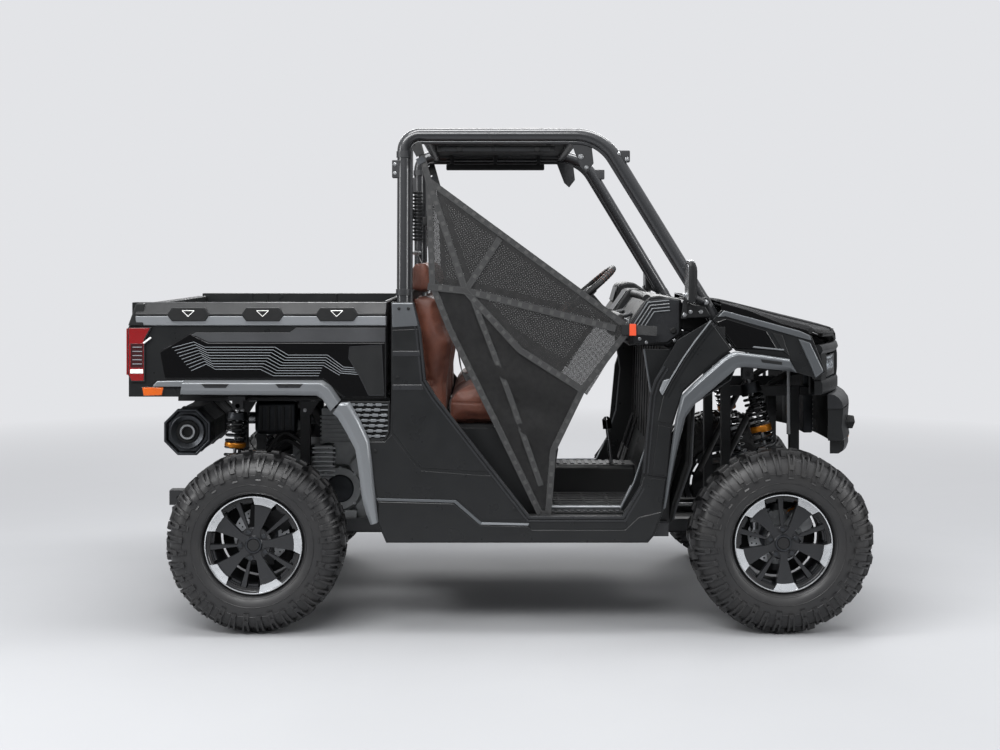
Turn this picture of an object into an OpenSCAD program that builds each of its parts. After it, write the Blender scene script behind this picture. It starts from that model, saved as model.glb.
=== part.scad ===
/* [Overall] */
// Distance between the front and rear axles
wheelbase = 2012; // [1980:2:2050]
// Front axle to the front face of the bumper
front_overhang = 386; // [376:1:400]
// Rear axle to the rear face of the bed
rear_overhang = 492; // [484:1:510]
// Width over the tyres
overall_width = 1610; // [1600:2:1640]

/* [Wheels] */
// Diameter of the front tyres over the lugs
front_tyre_d = 700; // [680:2:710]
// Width of the front tyres
front_tyre_w = 230; // [220:2:240]
// Diameter of the rear tyres over the lugs
rear_tyre_d = 686; // [670:2:700]
// Width of the rear tyres
rear_tyre_w = 280; // [260:2:286]
// Diameter of the rims over their lips
rim_d = 376; // [366:2:386]
// Number of shoulder lugs on each side of a tyre
lug_count = 36; // [30:2:40]
// Height of the tyre lugs above the carcass
lug_h = 17; // [12:1:20]
// Width of a lug along the tread
lug_w = 27; // [24:1:30]
// Number of wide spokes in a rim
spoke_count = 5; // [4:1:6]
// Diameter of the brake discs
disc_d = 220; // [200:2:230]

/* [Cabin] */
// Height of the bottom of the rocker panels
rocker_z = 349; // [340:1:355]
// Height of the top of the door sill
sill_z = 452; // [446:1:458]
// Height of the top of the side panels behind the doors
panel_top_z = 1265; // [1240:1:1275]
// Distance from the centre plane to the outside of the side panels
panel_y = 768; // [764:1:772]
// Thickness of the side panels
panel_t = 18; // [12:1:20]
// Width of the seat row over the outer cushions
seat_row_w = 1200; // [1140:5:1230]
// Height of the seat cushions' tops
seat_z = 925; // [900:1:940]

/* [Roll cage] */
// Diameter of the roll cage tubes
cage_tube_d = 51; // [45:1:56]
// Height of the top of the roll cage
cage_top_z = 1938; // [1900:2:1960]
// Distance of the cage tubes from the centre plane at the roof
cage_top_y = 615; // [600:1:625]
// Distance of the cage tubes from the centre plane at the sill
cage_base_y = 694; // [690:1:698]
// Radius of the bend between the rear pillar and the roof tube
cage_rear_bend = 62; // [56:1:80]
// Radius of the bend between the roof tube and the windscreen pillar
cage_front_bend = 184; // [150:2:200]

/* [Cargo bed] */
// Height of the bed's top rail
bed_rail_z = 1261; // [1250:1:1268]
// Height of the bed's floor
bed_floor_z = 952; // [948:1:958]
// Distance from the centre plane to the outside of the bed rails
bed_half_w = 757; // [752:1:760]
// Width of the cargo space
bed_inner_w = 1290; // [1240:5:1300]
// Thickness of the tailgate
tailgate_t = 38; // [30:1:42]
// Diameter of the bed's hinge pins
hinge_pin_d = 20; // [16:1:22]

/* [Steering] */
// Diameter of the steering wheel
steering_wheel_d = 370; // [350:5:380]
// Thickness of the steering wheel's rim
steering_grip_d = 30; // [26:1:34]
// Distance from the steering axis to the tie rod
steering_arm = 85; // [78:1:88]
// Half width of the side to side distance of the steering axes
kingpin_y = 630; // [626:1:634]

/* [Hitch] */
// Inner width of the square hitch receiver
receiver_w = 51; // [50:1:52]
// Diameter of the receiver's cross pin hole
receiver_pin_d = 16; // [14:1:18]

/* [Hidden] */
$fn = 48;

// Axle positions, with the origin midway along the length
ax_r = (rear_overhang - wheelbase - front_overhang) / 2;
ax_f = ax_r + wheelbase;
// Rear end of the cabin's side panels and front end of the door openings
bx = ax_r + 522;
fx = ax_f - 437;
rear_x = ax_r - rear_overhang;
front_x = ax_f + front_overhang;
wz_f = front_tyre_d / 2;
wz_r = rear_tyre_d / 2;
tyre_y_f = (overall_width - front_tyre_w) / 2;
tyre_y_r = (overall_width - rear_tyre_w) / 2;
rim_r = rim_d / 2;
rim_lip = 16;
bead_r = rim_r - rim_lip - 2;
bead_inset = 38;
// Gap between pieces that rest on each other, and running gap of a shaft in its bore
seat_gap = 0.3;
fit = 0.08;
stub_r = 20;
hub_r = 46;
kingpin_r = 9;
kingpin_half = 104;
rear_hub_y = tyre_y_r - 65;
eye_r = 24;
rail_y = 240;
rail_w = 50;
rail_h = 50;
rail_z = 300;
rail_top = rail_z + rail_h;
skid_t = 6;
side_rail_y = 700;
panel_in = panel_y - panel_t;
cage_r = cage_tube_d / 2;
cage_z = cage_top_z - cage_r;
cage_foot_z = 470;
cage_flange = 28;
cage_lean = atan((cage_base_y - cage_top_y) / (cage_z - cage_foot_z));
bed_front = bx - 21;
bed_back = rear_x + 9;
bed_side_y = bed_half_w - 22;
bed_wall_y = bed_side_y - 35;
bed_in_y = bed_inner_w / 2;
bed_floor_t = 12;
bed_under = bed_floor_z - bed_floor_t;
bed_low = 895;
bed_flare_y = bed_side_y + 50;
hinge_x = ax_r - 377;
hinge_z = 900;
hinge_lug_r = 26;
gate_lug_r = 12;
gate_hinge_x = rear_x + gate_lug_r;
gate_hinge_z = bed_floor_z - tailgate_t + gate_lug_r;
gate_pin_r = 6;
hood_hinge_x = fx + 196;
hood_hinge_z = 1246;
column_tilt = 49;
// Where the seat base's top turns down to the floor, between the side panel and the door opening
seat_knee_x = bx + (fx - bx) * 0.378;
seat_half = seat_row_w / 2;
seat_split = 10;
relief = 4;
wheel_x = fx - 244;
wheel_y = 350;
wheel_z = 1270;

// A closed prism over an outline in the side view, from y0 to y1
module side_slab(points, y0, y1) {
  translate([0, y1, 0])
    rotate([90, 0, 0])
      linear_extrude(y1 - y0) polygon(points);
}

// A closed prism over an outline across the vehicle, from x0 to x1
module cross_slab(points, x0, x1) {
  translate([x0, 0, 0])
    rotate([90, 0, 90])
      linear_extrude(x1 - x0) polygon(points);
}

// A closed prism over an outline in plan, from z0 to z1
module plan_slab(points, z0, z1) {
  translate([0, 0, z0])
    linear_extrude(z1 - z0) polygon(points);
}

// Points of an open outline moved sideways, to its left where d is positive
function shifted(points, d) = [for (i = [0:len(points) - 1])
  let (last = len(points) - 1, into = unit(points[max(i, 1)] - points[max(i, 1) - 1]),
    away = unit(points[min(i, last - 1) + 1] - points[min(i, last - 1)]),
    side = unit([-into[1] - away[1], into[0] + away[0]]))
  points[i] + side * d / (side * [-into[1], into[0]])];
// A band that follows an open outline between two distances from it
function band(points, d0, d1) = concat(shifted(points, d0),
  [for (i = [len(points) - 1:-1:0]) shifted(points, d1)[i]]);

// A curved sheet through a grid of points, t thick below them
module curved_sheet(grid, t) {
  m = len(grid);
  n = len(grid[0]);
  points = concat([for (row = grid, p = row) p], [for (row = grid, p = row) p - [0, 0, t]]);
  under = m * n;
  faces = concat(
    [for (i = [0:m - 2], j = [0:n - 2]) let (a = i * n + j, b = a + n, c = b + 1, d = a + 1)
      each [[a, d, c], [a, c, b], [a + under, b + under, c + under], [a + under, c + under, d + under]]],
    [for (i = [0:m - 2]) let (a = i * n, b = a + n) each [[a, b, b + under], [a, b + under, a + under]]],
    [for (i = [0:m - 2]) let (d = i * n + n - 1, c = d + n) each [[c, d, d + under], [c, d + under, c + under]]],
    [for (j = [0:n - 2]) let (a = j, d = j + 1) each [[d, a, a + under], [d, a + under, d + under]]],
    [for (j = [0:n - 2]) let (b = (m - 1) * n + j, c = b + 1) each [[b, c, c + under], [b, c + under, b + under]]]);
  polyhedron(points, faces);
}

module block(low, high) {
  translate(low) cube(high - low);
}

module both_sides() {
  children();
  mirror([0, 1, 0]) children();
}

// A round bar from point a to point b
module rod(a, b, d) {
  run = b - a;
  translate(a)
    rotate([0, acos(run[2] / norm(run)), atan2(run[1], run[0])])
      cylinder(d = d, h = norm(run));
}

// A round bar along Y, from y0 to y1, at x and z
module cross_rod(x, z, y0, y1, r) {
  translate([x, y1, z])
    rotate([90, 0, 0]) cylinder(r = r, h = y1 - y0);
}

function heading(a, b) = atan2(b[1] - a[1], b[0] - a[0]);
function wrapped(angle) = angle > 180 ? angle - 360 : angle < -180 ? angle + 360 : angle;

function unit(v) = v / norm(v);

// Points of a polyline in the side view whose inner corners are bends of the given radii
function bent_path(points, radii) = [for (i = [0:len(points) - 1])
  let (inner = i > 0 && i < len(points) - 1,
    way = inner ? heading(points[i - 1], points[i]) : 0,
    turn = inner ? wrapped(heading(points[i], points[i + 1]) - way) : 0,
    radius = inner ? radii[i - 1] : 0,
    start = points[i] - [cos(way), sin(way)] * radius * tan(abs(turn) / 2),
    centre = start + [-sin(way), cos(way)] * sign(turn) * radius,
    steps = inner ? ceil(abs(turn) / 7.5) : 0)
  each inner ? [for (k = [0:steps]) let (a = way - sign(turn) * 90 + turn * k / steps)
    [centre[0] + radius * cos(a), 0, centre[1] + radius * sin(a)]] : [[points[i][0], 0, points[i][1]]]];

// A round bar swept along a path of points, where across is never along the path
module sweep(path, r, across = [0, 1, 0], sides = 24) {
  last = len(path) - 1;
  rings = [for (i = [0:last])
    let (along = unit(path[min(i + 1, last)] - path[max(i - 1, 0)]),
      u = unit(cross(along, across)), v = cross(u, along))
    for (k = [0:sides - 1]) path[i] + r * (cos(k * 360 / sides) * u + sin(k * 360 / sides) * v)];
  faces = concat([[for (k = [sides - 1:-1:0]) k]], [[for (k = [0:sides - 1]) last * sides + k]],
    [for (i = [0:last - 1], k = [0:sides - 1], half = [0, 1])
      let (a = i * sides + k, b = i * sides + (k + 1) % sides)
      half == 0 ? [a, b, a + sides] : [b, b + sides, a + sides]]);
  polyhedron(rings, faces);
}

// Places children drawn at y = 0 and z = height above the sill in the leaning plane of the right cage side
module cage_plane(outset) {
  translate([0, -cage_base_y, cage_foot_z])
    rotate([-cage_lean, 0, 0])
      translate([0, -outset, -cage_foot_z]) children();
}

function cage_y(z) = cage_base_y - (z - cage_foot_z) * tan(cage_lean);
// Place along the vehicle of the cage's front pillar at height z
function pillar_x(z) = fx - 241 + 464 * (cage_z - z) / (cage_z - 1146);
function lean_z(z) = cage_foot_z + (z - cage_foot_z) / cos(cage_lean);

module frame() color("#26282a") {
  both_sides() {
    // Lower main rail
    block([rear_x + 115, -rail_y - rail_w / 2, rail_z], [ax_f + 180, -rail_y + rail_w / 2, rail_top]);
    // Rear posts and the rail that carries the bed
    for (x = [ax_r - 130, ax_r + 130, bx - 60])
      block([x - 20, -rail_y - 20, rail_top], [x + 20, -rail_y + 20, 838]);
    block([hinge_x - 20, -rail_y - 20, 838], [bx - 40, -rail_y + 20, 878]);
    // Hinge lug of the bed
    difference() {
      union() {
        cross_rod(hinge_x, hinge_z, -rail_y - 26 + seat_gap, -rail_y + 10, hinge_lug_r);
        block([hinge_x - 20, -rail_y - 20, 838], [hinge_x + hinge_lug_r, -rail_y + 10, hinge_z]);
      }
      cross_rod(hinge_x, hinge_z, -rail_y - 27, -rail_y + 12, hinge_pin_d / 2 + fit);
    }
    // Rest pad for the bed
    block([bx - 110, -rail_y - 20, 878], [bx - 70, -rail_y + 20, bed_under - seat_gap]);
    // Rear shock tower
    block([ax_r - 150, -486, 862], [ax_r - 80, -rail_y - 20, 878]);
    both_shock_ears(ax_r - 112, 455, 875);
    // Front tower with its shock mount
    block([ax_f - 152, -rail_y - 20, rail_top], [ax_f - 115, -rail_y + 20, 1040]);
    block([ax_f + 132, -rail_y - 20, rail_top], [ax_f + 170, -rail_y + 20, 900]);
    block([ax_f - 115, -rail_y - 20, 860], [ax_f + 132, -rail_y + 20, 900]);
    block([ax_f - 115, -436, 992], [ax_f - 46, -rail_y + 20, 1004]);
    // Beam and foot under the cage's front pillar
    block([fx + 200, -rail_y - 20, 1010], [ax_f - 152, -rail_y + 20, 1040]);
    block([fx + 200, -680, 1010], [fx + 240, -rail_y - 20, 1040]);
    block([fx + 200, -680, 1040], [fx + 240, -640, 1118]);
    block([fx + 140, -600, 1010], [fx + 200, -560, 1150 - seat_gap]);
    both_shock_ears(ax_f - 73, 408, 992);
    // Outriggers and side rail under the sill
    for (x = [bx + 20, bx + 480, fx - 60])
      cross_slab([[-rail_y - rail_w / 2, rail_z + 8], [-rail_y - rail_w / 2, rail_top - 2], [-650, 402], [-650, 364]],
        x - 20, x + 20);
    block([bx, -side_rail_y, 362], [fx + 10, -650, 412]);
    // Foot of the cage's rear pillar
    block([bx + 10, -700, 412], [bx + 70, -660, 466]);
  }
  // Cross members
  for (x = [ax_r - 230, ax_r + 130, bx + 100, bx + 480, fx - 60, ax_f - 130])
    block([x - 20, -rail_y, rail_z + 5], [x + 20, rail_y, rail_top - 5]);
  block([rear_x + 85, -330, rail_z], [rear_x + 115, 330, rail_top + 60]);
  for (x = [ax_r - 130, ax_r + 130])
    block([x - 18, -rail_y, 842], [x + 18, rail_y, 872]);
  block([ax_f - 150, -rail_y, 1000], [ax_f - 118, rail_y, 1036]);
  // Hitch receiver
  difference() {
    block([rear_x + 7, -receiver_w / 2 - 6, 366], [rear_x + 90, receiver_w / 2 + 6, 366 + receiver_w + 12]);
    block([rear_x + 6, -receiver_w / 2, 372], [rear_x + 84, receiver_w / 2, 372 + receiver_w]);
    cross_rod(rear_x + 45, 372 + receiver_w / 2, -receiver_w / 2 - 7, receiver_w / 2 + 7, receiver_pin_d / 2);
  }
}

// The two ears below a shock tower that hold the shock's upper eye
module both_shock_ears(x, y, z) {
  for (side = [-1, 1])
    block([x - 22, -y + side * 20 - 4, z - 50], [x + 22, -y + side * 20 + 4, z]);
}

module skid_plate() color("#1c1d1f") {
  plan_slab([[rear_x + 120, -200], [rear_x + 180, -265], [ax_f + 60, -265], [ax_f + 150, -180],
    [ax_f + 150, 180], [ax_f + 60, 265], [rear_x + 180, 265], [rear_x + 120, 200]],
    rail_z - seat_gap - skid_t, rail_z - seat_gap);
}

module engine() color("#5a5d60") {
  block([bx - 330 + seat_gap, -200, rail_top - 4], [bx - 80 - seat_gap, 200, 800]);
  both_sides() block([bx - 260, -rail_y, rail_top + seat_gap], [bx - 180, -200, rail_top + 30]);
}

// Rear gear case, front differential, half shafts and the shafts that join them
module drivetrain() color("#6a6d70") {
  // Each axle's place, height, outer end, gear case height and radius
  for (axle = [[ax_r, wz_r, 500, 50, 74], [ax_f, wz_f, 560, 30, 58]]) {
    case_z = axle[1] + axle[3];
    cross_rod(axle[0], case_z, -95, 95, axle[4]);
    both_sides() {
      rod([axle[0], -90, case_z], [axle[0], -axle[2] + 30, axle[1] + 4], 28);
      rod([axle[0], -90, case_z], [axle[0], -150, case_z - 6], 72);
      rod([axle[0], -axle[2] + 66, axle[1] + 8], [axle[0], -axle[2] + 6, axle[1] + 1], 66);
    }
  }
  block([ax_r + 60, -120, 392], [bx - 330, 120, 640]);
  rod([bx - 80, 0, rail_top + 8.5], [ax_f - 50, 0, rail_top + 8.5], 25);
}

module muffler() color("#34373a") {
  translate([ax_r - 320, 150, 732])
    rotate([90, 0, 0]) rotate([0, 0, 22.5]) {
      difference() {
        union() {
          cylinder(r = 96, h = 600, $fn = 8);
          for (z = [0, 588]) translate([0, 0, z]) cylinder(r = 100, h = 12, $fn = 8);
        }
        translate([0, 0, 586]) cylinder(r = 84, h = 15, $fn = 8);
      }
      translate([0, 0, 580]) difference() {
        cylinder(r = 62, h = 14, $fn = 8);
        translate([0, 0, 8]) cylinder(r = 50, h = 7);
      }
    }
  rod([ax_r - 320, 60, 732], [bx - 330, 60, 732], 50);
}

module cage_right() color("#2b2d2f") {
  cage_plane(0) {
    sweep(bent_path([[bx + 40, cage_foot_z], [bx + 40, lean_z(cage_z)], [fx - 241, lean_z(cage_z)],
      [fx + 223, lean_z(1146)]], [cage_rear_bend, cage_front_bend]), cage_r);
    // Flange along the inside of the bends
    sweep(bent_path([[bx + 40 + cage_flange, cage_foot_z + 20], [bx + 40 + cage_flange, lean_z(cage_z) - cage_flange],
      [fx - 256, lean_z(cage_z) - cage_flange], [fx + 189, lean_z(1160)]],
      [cage_rear_bend - cage_flange, cage_front_bend - cage_flange]), 8, sides = 10);
  }
  // Brackets for a rear panel and a windscreen
  block([bx - 4, -cage_y(1780) - 20, 1745], [bx + 30, -cage_y(1780) + 20, 1812]);
  block([fx - 185, -cage_y(1830) - 16, 1806], [fx - 133, -cage_y(1830) + 16, 1850]);
  // Foot plates
  block([bx + 12, -cage_base_y - 30, cage_foot_z - 4], [bx + 68, -cage_base_y + 30, cage_foot_z + 2]);
  block([fx + 190, -cage_y(1146) - 30, 1118], [fx + 250, -cage_y(1146) + 30, 1146]);
}

module cage_left() {
  mirror([0, 1, 0]) cage_right();
}

module cage_cross_tubes() color("#2b2d2f") {
  y_top = cage_y(cage_z) - cage_r - 0.8;
  cross_rod(bx + 40 + cage_rear_bend + 20, cage_z - 6, -y_top, y_top, 19);
  cross_rod(fx - 340, cage_z - 6, -y_top, y_top, 19);
  y_mid = cage_y(1300) - cage_r - 0.8;
  cross_rod(bx + 40, 1300, -y_mid, y_mid, 19);
}

module roof_panel() color("#202224") {
  y_top = cage_y(cage_z) - cage_r - 8;
  difference() {
    plan_slab([[bx + 100, -y_top], [fx - 322, -y_top], [fx - 322, y_top], [bx + 100, y_top]],
      cage_z + 13 + seat_gap, cage_z + 19);
    // Long grooves that stiffen the sheet
    for (y = [-4:4])
      block([bx + 150, y * 110 - 14, cage_z + 17], [fx - 372, y * 110 + 14, cage_z + 20]);
  }
}

// Floor, rear wall and firewall of the cabin as one tub
module cabin_tub() color("#232527") {
  difference() {
    union() {
      side_slab([[bx + 4, 412 + seat_gap], [fx + 18, 412 + seat_gap], [fx + 24, 1080], [fx + 18, 1080], [fx + 4, 640],
          [fx - 60, 426], [bx + 10, 426], [bx + 10, 1250], [bx + 4, 1250]], -656, 656);
      // Tunnel along the middle of the floor
      cross_slab([[-95, 425], [-80, 530], [-62, 542], [62, 542], [80, 530], [95, 425]], fx - 434, fx - 56);
      // Ribs of the floor on both sides of it
      for (side = [-1, 1], i = [0:7])
        block([fx - 430, side * (150 + i * 62) - 9, 425], [fx - 76, side * (150 + i * 62) + 9, 430]);
    }
    // Slots along the tunnel's top
    for (i = [0:4])
      block([fx - 410 + i * 66, -40, 536], [fx - 374 + i * 66, 40, 543]);
    // Grooves of the rear wall
    for (y = [-5:5])
      block([bx + 8, y * 110 - 16, 850], [bx + 11, y * 110 + 16, 1200]);
  }
}

module seat_base() color("#1d1f20") {
  difference() {
    side_slab([[bx + 60, 426 + seat_gap], [fx - 455, 426 + seat_gap], [fx - 412, 700], [seat_knee_x, 780],
      [bx + 60, 780]], -seat_half, seat_half);
    // Grooves between the lids under the seats
    for (y = [-seat_half / 3, seat_half / 3])
      block([fx - 460, y - 4, 470], [fx - 400, y + 4, 690]);
    for (z = [470, 686])
      side_slab([[fx - 470, z], [fx - 400, z], [fx - 400, z + 7], [fx - 470, z + 7]], -seat_half - 1, seat_half + 1);
  }
}

module seat_row(points) {
  seat_w = (seat_row_w - 2 * seat_split) / 3;
  for (i = [-1:1])
    side_slab(points, i * (seat_w + seat_split) - seat_w / 2, i * (seat_w + seat_split) + seat_w / 2);
}

module seat_cushions() color("#5b3524") {
  seat_row([[bx + 208, 780 + seat_gap], [bx + 208, 876], [bx + 250, seat_z - 15], [bx + 317, seat_z + 10],
    [fx - 493, seat_z - 22], [fx - 411, seat_z - 50], [fx - 411, 700 + seat_gap],
    [seat_knee_x, 780 + seat_gap]]);
}

module seat_backs() color("#5b3524") {
  seat_row([[bx + 60, 1400], [bx + 75, 1420], [bx + 130, 1425], [bx + 168, 1300], [bx + 226, 1110],
    [bx + 200, 930], [bx + 200, 780 + seat_gap], [bx + 120, 780 + seat_gap], [bx + 96, 980], [bx + 66, 1290]]);
}

module dashboard() color("#1e2022") {
  dash_half = 640;
  face_x = fx - 137;
  difference() {
    union() {
      side_slab([[face_x, 1091], [face_x, 1189], [fx - 70, 1285], [fx + 67, 1272], [fx + 67, 1131],
        [fx + 20, 1091]], -dash_half, dash_half);
      // Hood of the instruments ahead of the steering wheel
      side_slab([[fx - 112, 1225], [fx - 96, 1312], [fx - 30, 1318], [fx + 30, 1276]], wheel_y - 115, wheel_y + 115);
      // Console in the middle
      side_slab([[face_x - 24, 1100], [face_x - 18, 1196], [fx - 84, 1296], [fx - 40, 1296], [fx - 40, 1100]], -105, 105);
      // Grab bar of the passenger
      for (y = [-560, -240])
        rod([face_x - 26, y, 1200], [fx - 100, y, 1222], 17);
      cross_rod(face_x - 26, 1200, -580, -220, 12);
    }
    // Dial and screen openings
    side_slab([[fx - 130, 1236], [fx - 106, 1246], [fx - 94, 1302], [fx - 118, 1306]], wheel_y - 100, wheel_y + 100);
    side_slab([[face_x - 34, 1190], [face_x - 12, 1192], [fx - 78, 1290], [fx - 92, 1298]], -88, 88);
    // Gap round the glove box lid
    for (z = [1104, 1178])
      block([face_x - 1, -566, z - 2], [face_x + relief, -234, z + 2]);
    for (y = [-566, -234])
      block([face_x - 1, y - 2, 1102], [face_x + relief, y + 2, 1180]);
  }
}

// Frame at the steering wheel's centre with Z along the column, away from the driver
module at_steering_wheel() {
  translate([wheel_x, wheel_y, wheel_z]) rotate([0, 90 + column_tilt, 0]) children();
}

module steering_column() color("#2a2c2e") {
  difference() {
    at_steering_wheel() {
      difference() {
        translate([0, 0, 30]) cylinder(r = 28, h = 200);
        translate([0, 0, 29]) cylinder(r = 12 + fit, h = 60);
      }
    }
    block([fx - 137 - seat_gap, wheel_y - 100, 900], [fx + 100, wheel_y + 100, 1400]);
  }
}

module steering_wheel() color("#1b1c1e") {
  at_steering_wheel() {
    rotate_extrude($fn = 72) translate([steering_wheel_d / 2 - steering_grip_d / 2, 0])
      circle(d = steering_grip_d, $fn = 24);
    translate([0, 0, -4]) cylinder(r = 48, h = 33 - seat_gap);
    cylinder(r = 12, h = 80);
    for (i = [0:2])
      rotate([0, 0, 90 + i * 120])
        translate([40, -17, -2]) cube([steering_wheel_d / 2 - steering_grip_d - 36, 34, 12]);
  }
}

module side_panel() {
  door_edge = [[bx + 87, panel_top_z], [bx + 114, 1159], [bx + 133, 969], [bx + 171, 908], [fx - 525, sill_z],
    [fx - 175, sill_z], [fx - 107, 566]];
  difference() {
    side_slab([[bx, panel_top_z], [bx + 87, panel_top_z], [bx + 114, 1159], [bx + 133, 969], [bx + 171, 908],
      [fx - 525, sill_z], [fx - 175, sill_z], [fx - 107, 566], [fx - 99, 611], [fx, 596], [fx - 16, 475],
      [fx - 50, 380], [fx - 76, rocker_z], [bx - 19, rocker_z], [bx - 57, 437], [bx - 80, 589],
      [bx - 95, 737], [bx - 19, 737], [bx - 4, 771], [bx, 893]], -panel_y, -panel_in);
    // Two beads along the door opening
    side_slab(band(door_edge, -10, -16), -panel_y - 1, -panel_y + relief);
    side_slab(band(door_edge, -25, -30), -panel_y - 1, -panel_y + relief);
    // Bars across the post, left standing between grooves, and the groove under the cap
    for (z = [944, 970, 1062, 1088, 1162])
      side_slab([[bx - 5, z - 4], [bx + 81, z - 4], [bx + 81, z + 4], [bx - 5, z + 4]], -panel_y - 1, -panel_y + relief);
    // Flank set back under the long crease, down to the rocker
    side_slab([[bx - 36, 724], [bx - 8, 730], [bx + 8, 744], [bx + 88, 650], [bx + 116, 628], [fx - 735, 612],
      [fx - 592, 466], [fx - 712, 436], [fx - 800, 514], [bx - 44, 520]], -panel_y - 1, -panel_y + relief);
    // Step along the rocker
    side_slab([[fx - 712, 420], [fx - 540, 416], [fx - 516, 402], [fx - 160, 402], [fx - 148, 396], [fx - 520, 394],
      [fx - 548, 408], [fx - 718, 412], [fx - 806, 492], [bx - 30, 500], [bx - 30, 508], [fx - 800, 500]],
      -panel_y - 1, -panel_y + relief);
  }
  // Rocker under the door
  side_slab([[bx, rocker_z], [fx - 90, rocker_z], [fx - 90, sill_z - 3], [bx, sill_z - 3]],
    -panel_in, -side_rail_y - seat_gap);
}

module side_panel_right() color("#2a2c2e") {
  side_panel();
}

module side_panel_left() color("#2a2c2e") {
  mirror([0, 1, 0]) side_panel();
}

module side_vents() color("#1f2123") {
  both_sides()
    difference() {
      side_slab([[bx - 168, 886], [bx - 6, 886], [bx - 6, 773], [bx - 21, 737 + seat_gap],
        [bx - 97, 737 + seat_gap]], -758, -738);
      // Slots between the slats, shorter towards the bottom
      for (row = [0:6])
        side_slab([[bx - 152 + row * 9, 872 - row * 20], [bx - 16, 872 - row * 20],
          [bx - 16 - max(0, row - 4) * 4, 862 - row * 20], [bx - 147 + row * 9, 862 - row * 20]], -759, -748);
    }
}

module fender() {
  rear_edge = [[fx + 37, 1121], [fx - 12, 1037], [fx - 50, 969], [fx - 69, 912], [fx - 99, 611 + seat_gap]];
  crease = [[fx + 152, 1186], [fx + 56, 1060], [fx + 4, 970], [fx - 18, 912], [fx - 48, 606]];
  difference() {
    side_slab([[fx + 166, 1197], [fx + 246, 1085], [fx + 204, 1059], [fx + 56, 922], [fx + 14, 785],
      [fx - 1, 597 + seat_gap], [fx - 99, 611 + seat_gap], [fx - 69, 912], [fx - 50, 969], [fx - 12, 1037],
      [fx + 37, 1121]], -panel_y - 2, -panel_in);
    // Two beads along the door opening and the crease that bounds the flank
    side_slab(band(rear_edge, 10, 15), -panel_y - 3, -panel_y - 2 + relief);
    side_slab(band(rear_edge, 23, 27), -panel_y - 3, -panel_y - 2 + relief);
    side_slab(band(crease, -3, 3), -panel_y - 3, -panel_y - 2 + relief);
  }
}

module fender_right() color("#26282a") {
  fender();
}

module fender_left() color("#26282a") {
  mirror([0, 1, 0]) fender();
}

module front_flares() color("#3c3f42") {
  ridge = [[ax_f - 452, 500], [ax_f - 441, 597], [ax_f - 410, 820], [ax_f - 388, 910], [ax_f - 236, 1050],
    [ax_f - 183, 1077], [ax_f + 21, 1050]];
  both_sides() {
    side_slab([[ax_f - 456, 479], [ax_f - 441, 597], [ax_f - 410, 820], [ax_f - 388, 910], [ax_f - 236, 1050],
      [ax_f - 183, 1077], [ax_f + 21, 1050], [ax_f + 47, 997], [ax_f - 176, 1016], [ax_f - 338, 876],
      [ax_f - 372, 827], [ax_f - 425, 600]], -784, -panel_y - 2 - seat_gap);
    side_slab(band(ridge, -4, -15), -790, -783);
  }
}

module rear_flares() color("#55585b") {
  both_sides() {
    side_slab([[ax_r + 336, 886], [ax_r + 366, 886], [ax_r + 440, 740], [ax_r + 456, 592], [ax_r + 476, 431],
      [ax_r + 444, 420], [ax_r + 413, 516], [ax_r + 387, 705], [ax_r + 300, 840]], -784, -panel_y - seat_gap);
    side_slab(band([[ax_r + 362, 880], [ax_r + 440, 740], [ax_r + 456, 592], [ax_r + 474, 440]], -5, -26), -790, -783);
  }
}

module quarter_panels() color("#191a1c") {
  both_sides() {
    block([fx + 180, -panel_in + seat_gap, 1110], [fx + 220, -731, 1170]);
    difference() {
      side_slab([[fx + 174, 1196], [fx + 209, 1234], [fx + 507, 1154], [fx + 552, 1135], [fx + 606, 997],
        [fx + 564, 967], [fx + 552, 978], [fx + 495, 993], [fx + 468, 1047], [fx + 262, 1077]], -740, -722);
      // Grooves round the gloss insert and behind the lamp's bezel
      side_slab(band([[fx + 187, 1196], [fx + 222, 1210], [fx + 392, 1164], [fx + 440, 1140], [fx + 468, 1056]],
        -2, 3), -741, -740 + relief);
      side_slab([[fx + 492, 1150], [fx + 498, 1150], [fx + 560, 976], [fx + 554, 978]], -741, -740 + relief);
    }
  }
}

module wheelhouse_liners() color("#17181a") {
  both_sides()
    side_slab([[fx + 24, 420], [fx + 36, 480], [fx + 68, 570], [fx + 92, 640], [fx + 104, 876],
      [fx + 240, 966], [fx + 262, 1012], [fx + 460, 1030], [fx + 460, 1036], [fx + 258, 1018],
      [fx + 236, 971], [fx + 98, 880], [fx + 86, 642], [fx + 62, 572], [fx + 30, 482],
      [fx + 18.5, 420]],
      -720, -500);
}

// Front face in plan, as x at a distance y from the centre plane
function nose_x(y, centre, corner, half) = centre - (centre - corner) * pow(abs(y) / half, 2.4);
function nose_band(centre, corner, half, t) = concat(
  [for (i = [-8:8]) [nose_x(i * half / 8, centre, corner, half), i * half / 8]],
  [for (i = [8:-1:-8]) [nose_x(i * half / 8, centre, corner, half) - t, i * half / 8]]);

// Openings of the nose for the grille and the headlamps, each as its corners across and in height
grille_cut = [[-300, 960], [300, 1060]];
lamp_cut = [[-600, 965], [-330, 1050]];
module nose_cut(cut, gap) {
  block([front_x - 300, cut[0][0] + gap, cut[0][1] + gap], [front_x, cut[1][0] - gap, cut[1][1] - gap]);
}

module fascia() color("#222426") {
  difference() {
    union() {
      plan_slab(nose_band(front_x - 49, front_x - 219, 650, 22), 900 + seat_gap, 1090);
      // Rails above and below the openings
      plan_slab(nose_band(front_x - 45, front_x - 215, 650, 26), 1064, 1084);
      plan_slab(nose_band(front_x - 45, front_x - 215, 650, 26), 912, 950);
    }
    nose_cut(grille_cut, 0);
    both_sides() nose_cut(lamp_cut, 0);
  }
}

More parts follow.
